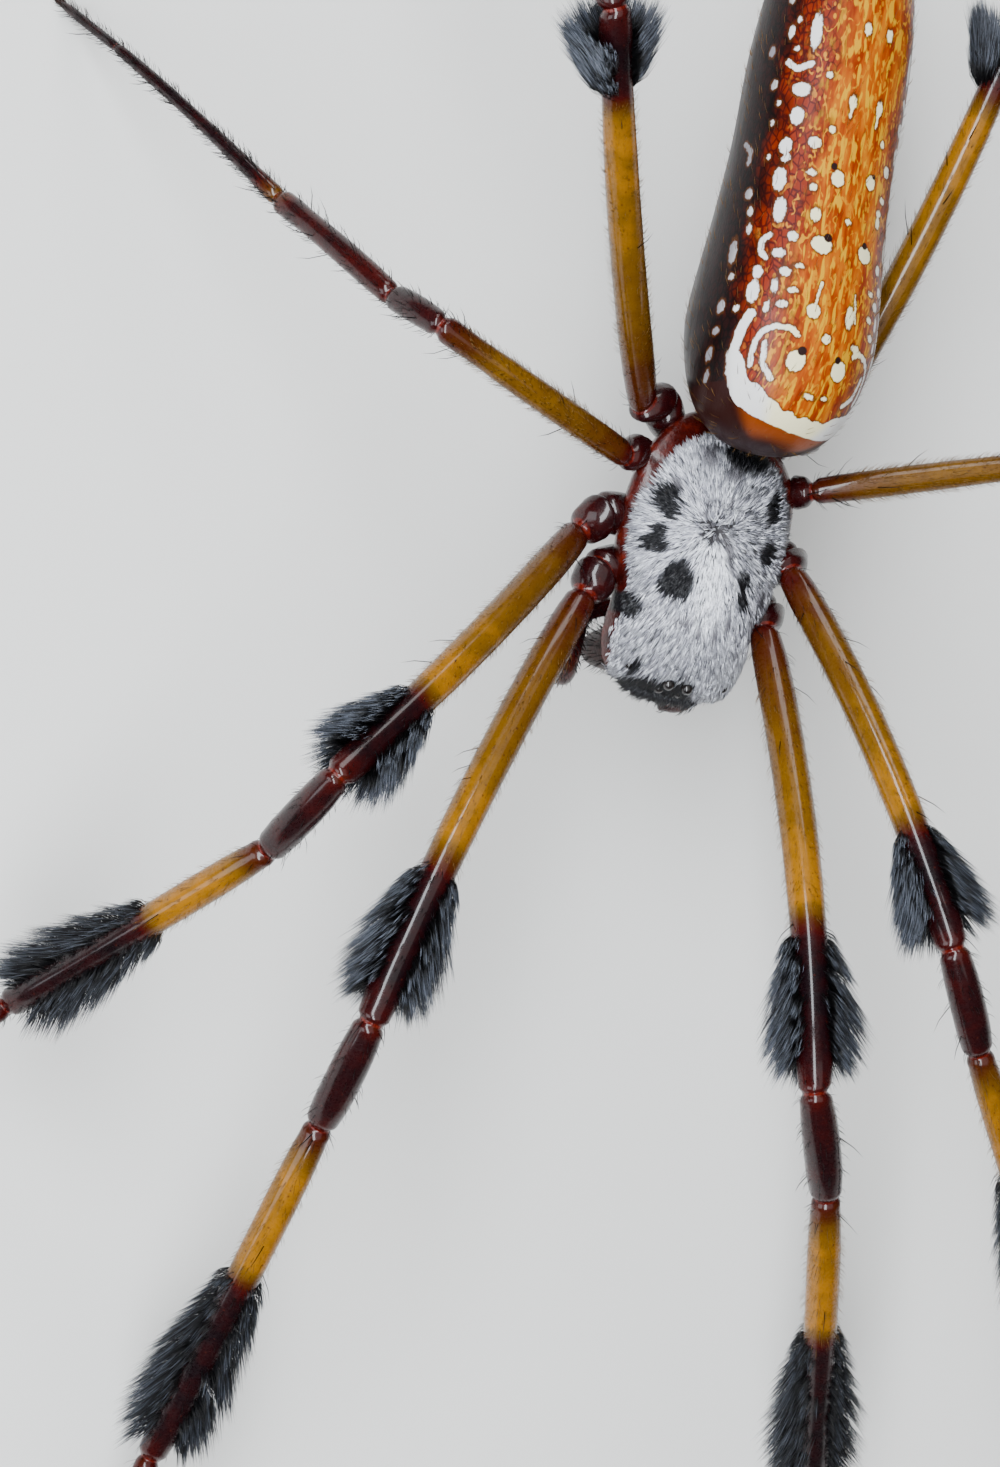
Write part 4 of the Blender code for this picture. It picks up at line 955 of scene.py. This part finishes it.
def jaws(random, materials):
    """Chelicerae with their fangs, and palps, all with short dark hair."""
    for side in SIDES:
        top, tip = (from_carapace(mirrored(point, side)) for point in (CHELICERA_TOP, CHELICERA_TIP))
        surface = straight_surface(top, tip, CHELICERA_PROFILE)
        surface.make(f"chelicera_skin_{side}", materials["jaw"], "jaw_cuticle", [f"chelicera_{side}"])
        fine_hair(random, f"chelicera_hair_{side}", surface, JAW_HAIRS, (0.35, 0.7), 0.025,
                  unit(tip - top), materials["fine_dark"])
        fang(side, materials)
        path = [mirrored(point, side) for point in PALP_PATH]
        palp = path_surface(path, PALP_RADII, from_carapace)
        shape = np.linspace(0, 1, palp.points.shape[0])[:, None] + np.zeros(palp.points.shape[:2])
        palp.values = {"amber": 0.2 + 0.12 * np.cos(shape * 9.0), "membrane": 0 * shape}
        palp.make(f"palp_skin_{side}", materials["leg"], "leg_cuticle", [f"palp_{side}"])
        way = unit(from_carapace(path[-1]) - from_carapace(path[-3]))
        fine_hair(random, f"palp_hair_{side}", palp, JAW_HAIRS, (0.25, 0.45), 0.03, way,
                  materials["fine_dark"], leans=(55.0, 80.0))


def fang(side, materials):
    """Curved fang folded inward and back under the chelicera."""
    inward = -1.0 if side == "left" else 1.0
    base = mirrored(CHELICERA_TIP, side) + np.array([0.0, -0.05, -FANG_DROP])
    path, radii = [], []
    for share in np.linspace(-0.25, 1, 8):
        turn = math.radians(FANG_SWEEP) * share
        sideways = FANG_BEND_RADIUS * (1 - math.cos(turn))
        bend = np.array([inward * 0.55 * sideways, 0.5 * sideways, -FANG_BEND_RADIUS * math.sin(turn)])
        path.append(base + bend)
        radii.append(FANG_BASE_RADIUS * (1 - 0.9 * max(share, 0.0) ** 1.3))
    surface = path_surface(path, radii, from_carapace, 16, 30)
    surface.make(f"fang_tooth_{side}", materials["claw"], "jaw_cuticle", [f"fang_{side}"])


# Abdomen

# Pale marks: place along the abdomen, angle off the back's midline, half length and half width.
# Those on the back are given for both sides, and those on the flank are the same left and right.
BACK_SPOTS = [
    (2.57, -19, 0.4, 0.35), (2.73, 13, 0.37, 0.35), (7.0, -16.5, 0.34, 0.4), (7.27, 17, 0.32, 0.36),
    (9.67, -12.5, 0.32, 0.25), (10.02, 14.5, 0.28, 0.25), (12.69, -11, 0.28, 0.16),
    (12.85, 11.5, 0.29, 0.16),
    (4.45, -15, 0.28, 0.26), (4.69, 10, 0.42, 0.19), (3.61, -3, 0.18, 0.18), (8.11, -23.5, 0.28, 0.19),
    (8.19, -0.5, 0.13, 0.14), (11.46, -22, 0.15, 0.14), (11.66, 21, 0.15, 0.13), (8.75, 28, 0.22, 0.15),
    (1.54, -2, 0.11, 0.22), (1.66, 11, 0.08, 0.14), (3.73, 21, 0.14, 0.25), (13.49, -30.5, 0.13, 0.14),
    (15.6, -9, 0.26, 0.15), (15.7, 10, 0.26, 0.15), (17.6, -8, 0.2, 0.13), (17.7, 9, 0.2, 0.13),
]
FLANK_SPOTS = [
    (15.08, 45.5, 0.72, 0.21), (12.77, 48.5, 0.27, 0.36), (11.74, 48, 0.35, 0.27),
    (10.54, 52, 0.33, 0.25),
    (10.06, 50, 0.14, 0.19), (9.23, 51.5, 0.47, 0.26), (8.03, 47, 0.5, 0.24), (6.36, 42, 0.19, 0.25),
    (7.08, 35.5, 0.2, 0.2), (5.68, 36, 0.18, 0.22), (6.0, 28, 0.1, 0.19), (5.52, 52.5, 0.26, 0.2),
    (4.76, 53, 0.43, 0.25), (5.08, 40.5, 0.28, 0.13), (5.04, 29.5, 0.12, 0.21),
    (4.45, 34.5, 0.14, 0.22),
    (4.25, 43, 0.23, 0.11), (4.09, 61.5, 0.14, 0.13), (10.82, 32.5, 0.23, 0.24), (9.67, 31, 0.14, 0.19),
    (9.11, 28, 0.15, 0.16), (4.17, 72.5, 0.25, 0.18), (3.29, 75, 0.16, 0.16), (2.49, 80.5, 0.24, 0.17),
    (1.74, 85.5, 0.25, 0.14), (6.32, 73, 0.48, 0.18), (5.32, 69.5, 0.14, 0.14), (8.63, 72, 0.22, 0.18),
    (7.91, 67.5, 0.2, 0.13), (7.23, 65, 0.22, 0.12), (10.06, 63, 0.12, 0.1), (12.93, 70, 0.2, 0.15),
    (12.21, 63.5, 0.12, 0.12), (11.42, 65.5, 0.12, 0.11), (14.25, 77.5, 0.22, 0.15),
    (15.0, 64, 0.26, 0.14),
    (15.52, 59.5, 0.14, 0.1), (14.33, 57, 0.12, 0.12), (17.0, 47, 0.35, 0.2), (18.2, 44, 0.28, 0.17),
    (17.5, 62, 0.2, 0.12), (16.4, 70, 0.24, 0.14),
]
STREAKS = [
    (((3.93, 52), (3.41, 56.5), (2.61, 60.5), (1.9, 63)), 0.2), (((2.97, 40.5), (2.26, 40.5),
    (1.78, 33)), 0.1),
    (((3.45, 21.5), (3.65, 26), (3.61, 35.5), (3.37, 43), (3.01, 46.5), (2.53, 48.5),
    (2.14, 48.5)), 0.1),
    (((13.81, 62), (13.53, 54), (13.81, 44)), 0.12), (((7.04, 49.5), (6.76, 54.5), (6.32, 53.5),
    (6.12, 49.5)), 0.11),
    (((10.7, 87), (10.34, 79), (9.86, 79)), 0.1), (((4.6, 15), (5.6, 12.5)), 0.05), (((12.1, 11),
    (12.6, 11)), 0.06),
]
DOTS = [
    (2.95, -16.5, 0.17), (3.07, 9.5, 0.14), (7.34, -13, 0.17), (7.6, 16, 0.14),
    (10.1, -16.5, 0.14), (10.32, 17, 0.11),
    (12.98, -10, 0.07), (13.12, 11, 0.07),
]
CRESCENT_FRONT = [(0, 0.35), (33, 0.47), (53, 0.71), (64, 1.1), (67, 1.6)]
CRESCENT_REAR = [(0, 0.78), (9, 0.9), (18, 0.95), (29, 1.1), (42, 1.55), (50, 1.8), (54.5, 2.4),
                 (67, 2.5)]
CRESCENT_END = 66.0
CRESCENT_FRAY = 0.05


def abdomen_radius(places):
    """Half width of the abdomen: a blunt front, a straight taper and a round rear end."""
    radius = curve(ABDOMEN_HALF_WIDTHS, places)
    front = np.clip(1 - places / ABDOMEN_FRONT_DEPTH, 0, 1)
    rear = np.clip((places - ABDOMEN_LENGTH) / ABDOMEN_REAR_DEPTH + 1, 0, 1)
    radius = radius * (1 - front ** ABDOMEN_FRONT_POWER) ** (1 / ABDOMEN_FRONT_POWER)
    return radius * (1 - rear ** ABDOMEN_REAR_POWER) ** (1 / ABDOMEN_REAR_POWER)


def abdomen_surface():
    """Abdomen skin, with the distance from its pole, the girth and the marks at each point."""
    ends_close = math.pi * (np.arange(ABDOMEN_ROWS) + 0.4) / (ABDOMEN_ROWS - 0.2)
    places = ABDOMEN_LENGTH * (0.5 - 0.5 * np.cos(ends_close))
    back_angle = 2 * math.pi * np.arange(ABDOMEN_COLUMNS) / ABDOMEN_COLUMNS - math.pi / 2
    radius = abdomen_radius(places)[:, None]
    x = radius * np.cos(back_angle)
    y = radius * np.sin(back_angle) * ABDOMEN_FLATTENING
    z = np.broadcast_to(places[:, None], x.shape)
    turn = np.degrees((math.pi / 2 - back_angle + math.pi) % (2 * math.pi) - math.pi)
    turn = -np.broadcast_to(turn, x.shape)
    off_back = np.abs(turn)
    steps = np.hypot(np.diff(places), np.diff(radius[:, 0]))
    distances = np.concatenate([[radius[0, 0]], radius[0, 0] + np.cumsum(steps)])
    arc = np.broadcast_to(distances[:, None], x.shape)
    girth = np.radians(turn) * radius

    def flat(place, angle):
        """Distance from the front pole, and millimetres round from the midline."""
        across = math.radians(angle) * float(abdomen_radius(np.array([place]))[0])
        return np.interp(place, places, distances), across

    def add_spots(spots, sideways, best):
        for place, angle, half_length, half_width in spots:
            middle, across = flat(place, angle)
            reach = np.hypot((arc - middle) / half_length, (sideways - across) / half_width)
            best = np.maximum(best, (1 - reach) * min(half_length, half_width))
        return best

    unmarked = np.full(x.shape, -1.0)
    mark = add_spots(FLANK_SPOTS, np.abs(girth), add_spots(BACK_SPOTS, girth, unmarked))
    dot = add_spots([(place, angle, size, size) for place, angle, size in DOTS], girth, unmarked)
    for path, half_width in STREAKS:
        ends = [flat(*point) for point in path]
        for start, end in zip(ends, ends[1:]):
            mark = np.maximum(mark, half_width - segment_distance(arc, np.abs(girth), start, end))
    front, rear = (np.interp(curve(edge, off_back), places, distances)
                   for edge in (CRESCENT_FRONT, CRESCENT_REAR))
    rear = rear + CRESCENT_FRAY * (np.sin(turn * 0.43) + np.sin(turn * 0.19 + 1.0))
    crescent = np.minimum(np.minimum(arc - front, rear - arc), np.radians(CRESCENT_END - off_back) * radius)
    mark = np.maximum(mark, np.minimum(crescent, 0.5))
    values = {"along": arc, "girth": girth, "flank": off_back / 90.0, "mark": mark, "dot": dot,
              "front": np.clip((front - arc) / 0.9, 0, 1)}
    return Surface(from_abdomen(np.stack([x, y, z], axis=-1)), values)


def abdomen(random, materials):
    surface = abdomen_surface()
    surface.make("abdomen_skin", materials["abdomen"], "abdomen_skin", ["abdomen"])
    fine_hair(random, "abdomen_hair", surface, ABDOMEN_HAIRS, (0.3, 0.55), 0.018, ABDOMEN_TURN[:, 2],
              materials["fine_gold"], leans=(55.0, 80.0))
    pedicel(materials)
    spinnerets(materials)


def pedicel(materials):
    start, end = from_carapace(PEDICEL_START), from_carapace(PEDICEL_END)
    way = unit(end - start)
    profile = [(place, share * PEDICEL_RADIUS) for place, share in PEDICEL_TAPER]
    neck = straight_surface(start - way * 0.5, end + way * 0.6, profile)
    shape = neck.points.shape[:2]
    neck.values = {"amber": np.full(shape, 0.15), "membrane": np.zeros(shape)}
    neck.make("pedicel_skin", materials["leg"], "leg_cuticle", ["pedicel"])


def spinnerets(materials):
    """Low mound with three pairs of pointed spinnerets under the rear of the abdomen."""
    below = -float(abdomen_radius(np.array([SPINNERET_PLACE]))[0]) * ABDOMEN_FLATTENING
    centre = np.array([0.0, below, SPINNERET_PLACE])
    width, length, depth = SPINNERET_BASE
    parts = [ellipsoid_surface(centre, (width, depth, length), from_abdomen, 24, 32)]
    for sideways, lengthwise, radius, reach in SPINNERET_PAIRS:
        for sign in (-1.0, 1.0):
            foot = centre + np.array([sideways * sign, -0.1, lengthwise])
            tip = foot + np.array([0.12 * sign, -reach, 0.25])
            profile = [(place, radius * share) for place, share in SPINNERET_TAPER]
            parts.append(straight_surface(from_abdomen(foot), from_abdomen(tip), profile, 18, 20))
    join("spinneret_skin", parts, materials["jaw"], "jaw_cuticle", ["spinnerets"])


# Legs

def foot_ways(start, yaw, sizes):
    """Directions of metatarsus and tarsus that bring the foot's end down to the floor."""
    end_height = FOOT_END_RADIUS * sizes["girth"] - FOOT_SINK
    slope = math.asin((start[2] - end_height) / (sizes["metatarsus"] + sizes["tarsus"]))
    tarsus_rise = -math.degrees(slope) - TARSUS_DIP
    drop = start[2] - end_height + sizes["tarsus"] * math.sin(math.radians(tarsus_rise))
    metatarsus_rise = -math.degrees(math.asin(drop / sizes["metatarsus"]))
    return direction(yaw, metatarsus_rise), direction(yaw, tarsus_rise)


def leg_course(number, side):
    """Joints from the coxa's start to the tarsus' end, and each segment's direction and length."""
    sizes, pose = LEG_SIZES[number], LEG_POSES[(number, side)]
    start, joint = (from_carapace(mirrored(sizes[part], side)) for part in ("coxa", "joint"))
    joints = [start, joint]
    ways = [unit(joint - start), direction(*pose["trochanter"])]
    lengths = [float(np.linalg.norm(joint - start)), TROCHANTER_LENGTH]
    joints.append(joint + ways[-1] * TROCHANTER_LENGTH)
    for part in ("femur", "patella", "tibia"):
        ways.append(direction(*pose[part]))
        lengths.append(sizes[part])
        joints.append(joints[-1] + ways[-1] * sizes[part])
    for part, way in zip(("metatarsus", "tarsus"), foot_ways(joints[-1], pose["foot"], sizes)):
        ways.append(way)
        lengths.append(sizes[part])
        joints.append(joints[-1] + way * sizes[part])
    return joints, ways, lengths


def ring_places(length):
    """Places along a segment, close together near its joints."""
    near = np.array([0.0, 0.04, 0.08, 0.13, 0.19, 0.27, 0.38, 0.52, 0.7])
    near = near[near < length / 2 - 0.1]
    steps = max(3, round((length - 2 * near[-1]) / RING_STEP))
    middle = np.linspace(near[-1], length - near[-1], steps)[1:-1]
    return np.concatenate([near, middle, (length - near)[::-1]])


def amber_share(number, part, share):
    """How yellow the cuticle is: 0 black, 0.3 dark red, 0.5 brown, 1 golden."""
    stops = AMBER_STOPS.get(part)
    start = TUFTS.get((number, part), (0.9, 0.96))[0]
    if part == "femur":
        stops = [(0.0, 0.28), (0.05, 0.4), (0.16, 0.62), (0.35, 0.78), (start - 0.05, 0.98),
                 (start - 0.01, 0.55), (start + 0.03, 0.14), (start + 0.1, 0.04), (0.92, 0.06),
                 (1.0, 0.3)]
    if part == "tibia":
        stops = [(0.0, 0.32), (0.05, 0.55), (0.13, 0.93), (start - 0.04, 1.0), (start, 0.5),
                 (start + 0.04, 0.12), (start + 0.12, 0.04), (0.92, 0.06), (1.0, 0.28)]
    if number == 3:
        stops = THIRD_LEG_AMBER_STOPS.get(part, stops)
    return np.clip(np.interp(share, *np.array(stops).T), 0, 1)


def leg_surface(number, side):
    """One skin from coxa to claws, pinched to a membrane at each joint."""
    joints, ways, lengths = leg_course(number, side)
    sizes, pose = LEG_SIZES[number], LEG_POSES[(number, side)]
    girth = sizes["girth"]
    bends = {"femur": (pose["bow"], ARCH), "patella": (0.0, 0.1), "tibia": (0.0, 0.15),
             "metatarsus": (0.0, ARCH)}
    angles = 2 * math.pi * np.arange(LEG_COLUMNS) / LEG_COLUMNS - math.pi / 2
    rings, amber, membrane, owner, share_along = [], [], [], [], []
    for index, part in enumerate(SEGMENTS):
        way, length = ways[index], lengths[index]
        before = unit(ways[index - 1] + way) if index else way
        after = unit(way + ways[index + 1]) if index < len(SEGMENTS) - 1 else way
        axes = axes_along(way)
        places = ring_places(length)[1 if index else 0:]
        bow = 4 * (places / length) * (1 - places / length)
        sideways, upward = bends.get(part, (0.0, 0.0))
        from_joint = places if index else np.full_like(places, NO_JOINT)
        to_joint = length - places if index < len(SEGMENTS) - 1 else np.full_like(places, NO_JOINT)
        nearest = np.minimum(from_joint, to_joint)
        pinch = np.exp(-(nearest / (JOINT_REACH * (0.5 + 0.5 * girth))) ** 2)
        radii = curve(LEG_PROFILES[part], places / length) * girth * SKIN_SHARE
        radii = radii * (1 - JOINT_PINCH * pinch) * (1 + 0.05 * np.exp(-((nearest - 0.3) / 0.12) ** 2))
        for place, lift, radius in zip(places, bow, radii):
            offset = np.stack([np.cos(angles), np.sin(angles)], axis=-1) * radius @ axes[:, :2].T
            shift = 0.0
            for plane, gap in ((before, place), (after, length - place)):
                fade = math.exp(-(gap / (1.1 * girth)) ** 2)
                shift = shift - fade * (offset @ plane) / (plane @ way)
            centre = joints[index] + way * place
            centre = centre + axes[:, 0] * sideways * lift + axes[:, 1] * upward * lift
            rings.append(centre + offset + shift[:, None] * way)
        membrane.append(pinch)
        owner += [part] * len(places)
        share_along.append(places / length)
        amber.append(amber_share(number, part, places / length))
    points = np.stack(rings)
    points[..., 2] = np.maximum(points[..., 2], 0.0)
    shape = np.ones(points.shape[:2])
    surface = Surface(points, {"amber": np.concatenate(amber)[:, None] * shape,
                               "membrane": np.concatenate(membrane)[:, None] * shape})
    surface.owner = np.array(owner)
    surface.share_along = np.concatenate(share_along)
    surface.ways = np.stack([ways[SEGMENTS.index(part)] for part in owner])
    off_top = np.abs(np.degrees(angles) - 90.0)
    surface.off_top = np.broadcast_to(np.minimum(off_top, 360.0 - off_top), points.shape[:2])
    return surface


def leg(number, side, random, materials):
    """Skin, tufts, fine hair and bristles of one leg."""
    name = f"leg_{number}_{side}"
    surface = leg_surface(number, side)
    nodes = [f"{name}_{part}" for part in ("coxa", "femur", "patella", "tibia", "foot")]
    surface.make(f"{name}_skin", materials["leg"], "leg_cuticle", nodes)
    for part in ("femur", "tibia"):
        if (number, part) in TUFTS:
            tuft(random, f"{name}_{part}_tuft", surface, part, TUFTS[(number, part)], materials["tuft"])

    def over(*parts):
        return np.isin(surface.owner, parts)[:, None] * np.ones(surface.points.shape[:2])

    upper, foot = over("femur", "patella", "tibia"), over("metatarsus", "tarsus")
    pale = ramp(0.45, 0.6, surface.values["amber"])
    for kind, count, weights, lengths, width, material, lean in (
            ("hair", LEG_HAIRS, upper * pale, (0.25, 0.5), 0.014, "fine_gold", 44.0),
            ("foot_hair", LEG_HAIRS, foot + 0.25 * upper * (1 - pale),
            (0.3, 0.6), 0.024, "fine_dark", 44.0),
            ("bristles", LEG_BRISTLES, over(*SEGMENTS[1:]), (0.9, 1.4), 0.04, "fine_dark", 38.0)):
        fine_hair(random, f"{name}_{kind}", surface, count, lengths, width, surface.ways,
                  materials[material], weights, (lean, lean + 24.0))


def tuft(random, name, surface, part, span, material):
    """Spindle of long hairs in clumps that leave the leg steeply and bow towards the foot, short on top."""
    low, high = span[0], span[1] - TUFT_STOP
    inside = (surface.owner == part) & (surface.share_along > low) & (surface.share_along < high)
    bare_top = ramp(30.0, 58.0, surface.off_top)
    rows, columns = surface.scatter(random, TUFT_CLUMPS, inside[:, None] * bare_top)
    roots, normals, places = rooted(surface, rows, columns)
    ring = rows.astype(int)
    share = np.clip((surface.share_along[ring] - low) / (high - low), 0, 1)
    off_top = surface.off_top[ring, columns.astype(int) % LEG_COLUMNS]
    length = curve(TUFT_LENGTHS, share) * rise_from(0.45, 40.0, 85.0, off_top)
    length = length * random.uniform(0.88, 1.08, len(rows))
    lies = surface.ways[ring] + random.normal(0, 0.1, (len(rows), 3))
    lean = random.uniform(26, 40, len(rows))
    roots, normals, lies, length, number = clumps(random, TUFT_CLUMP_HAIRS, 0.09, 0.5, roots, normals, lies,
                                                  length)
    count = len(number)
    places = clump_places(random, places, number)
    hair(name, roots, normals, lies, length, random.uniform(0.022, 0.034, count),
         (lean[number] + random.normal(0, 3, count), 70.0), places,
         {"tone": random.random(count) ** 1.8}, material, CLUMP_SECTIONS)


def claws(materials):
    """Two curved claws and a small middle one at each foot."""
    parts = []
    for number in LEG_SIZES:
        for side in SIDES:
            joints, ways, _ = leg_course(number, side)
            axes = axes_along(ways[-1])
            for spread, size in CLAW_SET:
                path = [joints[-1] + axes @ np.array(point)
                        for point in ((spread * 0.4, 0.02, -0.3), (spread, 0.09, CLAW_LENGTH * 0.4 * size),
                                      (spread * 1.3, -0.02, CLAW_LENGTH * size))]
                radii = [CLAW_RADIUS * size, CLAW_RADIUS * 0.7 * size, 0.02]
                tube = path_surface(path, radii, lambda points: points, 10, 14)
                tube.points[..., 2] = np.maximum(tube.points[..., 2], 0.0)
                parts.append(tube)
    join("claws", parts, materials["claw"], "leg_cuticle")


# Stage, lights and camera

def stage():
    mesh = bpy.data.meshes.new("floor")
    corners = [(x * FLOOR_REACH, y * FLOOR_REACH, 0) for x, y in ((-1, -1), (1, -1), (1, 1), (-1, 1))]
    mesh.from_pydata(corners, [], [(0, 1, 2, 3)])
    floor = bpy.data.objects.new("floor", mesh)
    bpy.context.collection.objects.link(floor)
    shader = Shader("floor", base_color=FLOOR_COLOUR, roughness=0.85)
    mesh.materials.append(shader.material)


def view_axes():
    """Camera's right, up and backward directions, and the point it looks at, as far off as the fovea."""
    lean, tilt, turn = (math.radians(angle) for angle in (VIEW_LEAN, VIEW_TILT, VIEW_TURN))
    back = np.array([-math.sin(lean) * math.cos(tilt), math.sin(tilt), math.cos(lean) * math.cos(tilt)])
    ahead = np.array([0.0, 1.0, 0.0])
    ahead = unit(ahead - (ahead @ back) * back)
    level = np.cross(ahead, back)
    right = math.cos(turn) * level + math.sin(turn) * ahead
    up = -math.sin(turn) * level + math.cos(turn) * ahead
    across = (FOVEA_PIXEL[0] - PHOTO_WIDTH / 2) / PIXELS_PER_MM
    rise = (PHOTO_HEIGHT / 2 - FOVEA_PIXEL[1]) / PIXELS_PER_MM
    return right, up, back, FOVEA - across * right - rise * up


def camera():
    right, up, back, target = view_axes()
    data = bpy.data.cameras.new("camera")
    data.sensor_width = SENSOR
    data.sensor_fit = "AUTO"
    data.lens = SENSOR * PIXELS_PER_MM * VIEW_DISTANCE / PHOTO_HEIGHT
    data.clip_start = 0.001
    data.clip_end = 10.0
    item = bpy.data.objects.new("camera", data)
    matrix = Matrix(np.stack([right, up, back], axis=1).tolist()).to_4x4()
    matrix.translation = Vector((target + VIEW_DISTANCE * back) * MM)
    item.matrix_world = matrix
    bpy.context.collection.objects.link(item)
    bpy.context.scene.camera = item


def area_light(name, place, target, size, power, colour, right):
    """Rectangular light facing the target, with its width level with the camera's right."""
    data = bpy.data.lights.new(name, "AREA")
    data.shape = "RECTANGLE"
    data.size, data.size_y = size[0] * MM, size[1] * MM
    data.energy = power
    data.color = colour
    item = bpy.data.objects.new(name, data)
    back = unit(place - target)
    across = unit(right - (right @ back) * back)
    matrix = Matrix(np.stack([across, np.cross(back, across), back], axis=1).tolist()).to_4x4()
    matrix.translation = Vector(place * MM)
    item.matrix_world = matrix
    bpy.context.collection.objects.link(item)


def lights():
    """A long narrow key beside the camera, a soft fill, a rim light and a wide light high above."""
    right, up, back, target = view_axes()
    for name, backward, rightward, upward, size, power, colour in LIGHTS:
        place = target + back * backward + right * rightward + up * upward
        area_light(name, place, FOVEA, size, power, colour, right)
    area_light("top", FOVEA + UP * TOP_LIGHT_HEIGHT, FOVEA, TOP_LIGHT_SIZE, TOP_LIGHT_POWER, WHITE,
               right)
    world = bpy.data.worlds.new("world")
    world.use_nodes = True
    tree = world.node_tree
    background = tree.nodes["Background"]
    background.inputs[0].default_value = WORLD_COLOUR
    seen = tree.nodes.new("ShaderNodeLightPath")
    strength = tree.nodes.new("ShaderNodeMix")
    strength.inputs[2].default_value = WORLD_LIGHT
    strength.inputs[3].default_value = BACKDROP_LIGHT
    tree.links.new(seen.outputs["Is Camera Ray"], strength.inputs[0])
    tree.links.new(strength.outputs[0], background.inputs[1])
    bpy.context.scene.world = world


def build():
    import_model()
    random = np.random.default_rng(SEED)
    materials = {
        "leg": leg_material(),
        "carapace": carapace_material(),
        "coat": coat_material(),
        "abdomen": abdomen_material(),
        # Tuft hair is black; its blue-grey tip colour is a painted reflection of the lights.
        "tuft": hair_material("tuft_hair", (0.003, 0.0028, 0.004), (0.15, 0.17, 0.215), 0.45, 0.92, 0.3),
        "fine_gold": hair_material("fine_gold_hair", (0.1, 0.045, 0.006), (0.22, 0.13, 0.04), gloss=0.2),
        "fine_dark": hair_material("fine_dark_hair", (0.006, 0.004, 0.004), (0.014, 0.012, 0.013), gloss=0.06),
        "jaw": black_material("jaw_cuticle", (0.008, 0.002, 0.0015), 0.3, 0.03, 0.06),
        "claw": black_material("claw_horn", (0.01, 0.004, 0.003), 0.15),
        "eye": black_material("eye_lens", (0.004, 0.003, 0.003), 0.04),
    }
    cephalothorax(random, materials)
    eyes(materials)
    jaws(random, materials)
    abdomen(random, materials)
    for number in LEG_SIZES:
        for side in SIDES:
            leg(number, side, random, materials)
    claws(materials)
    stage()
    camera()
    lights()


build()
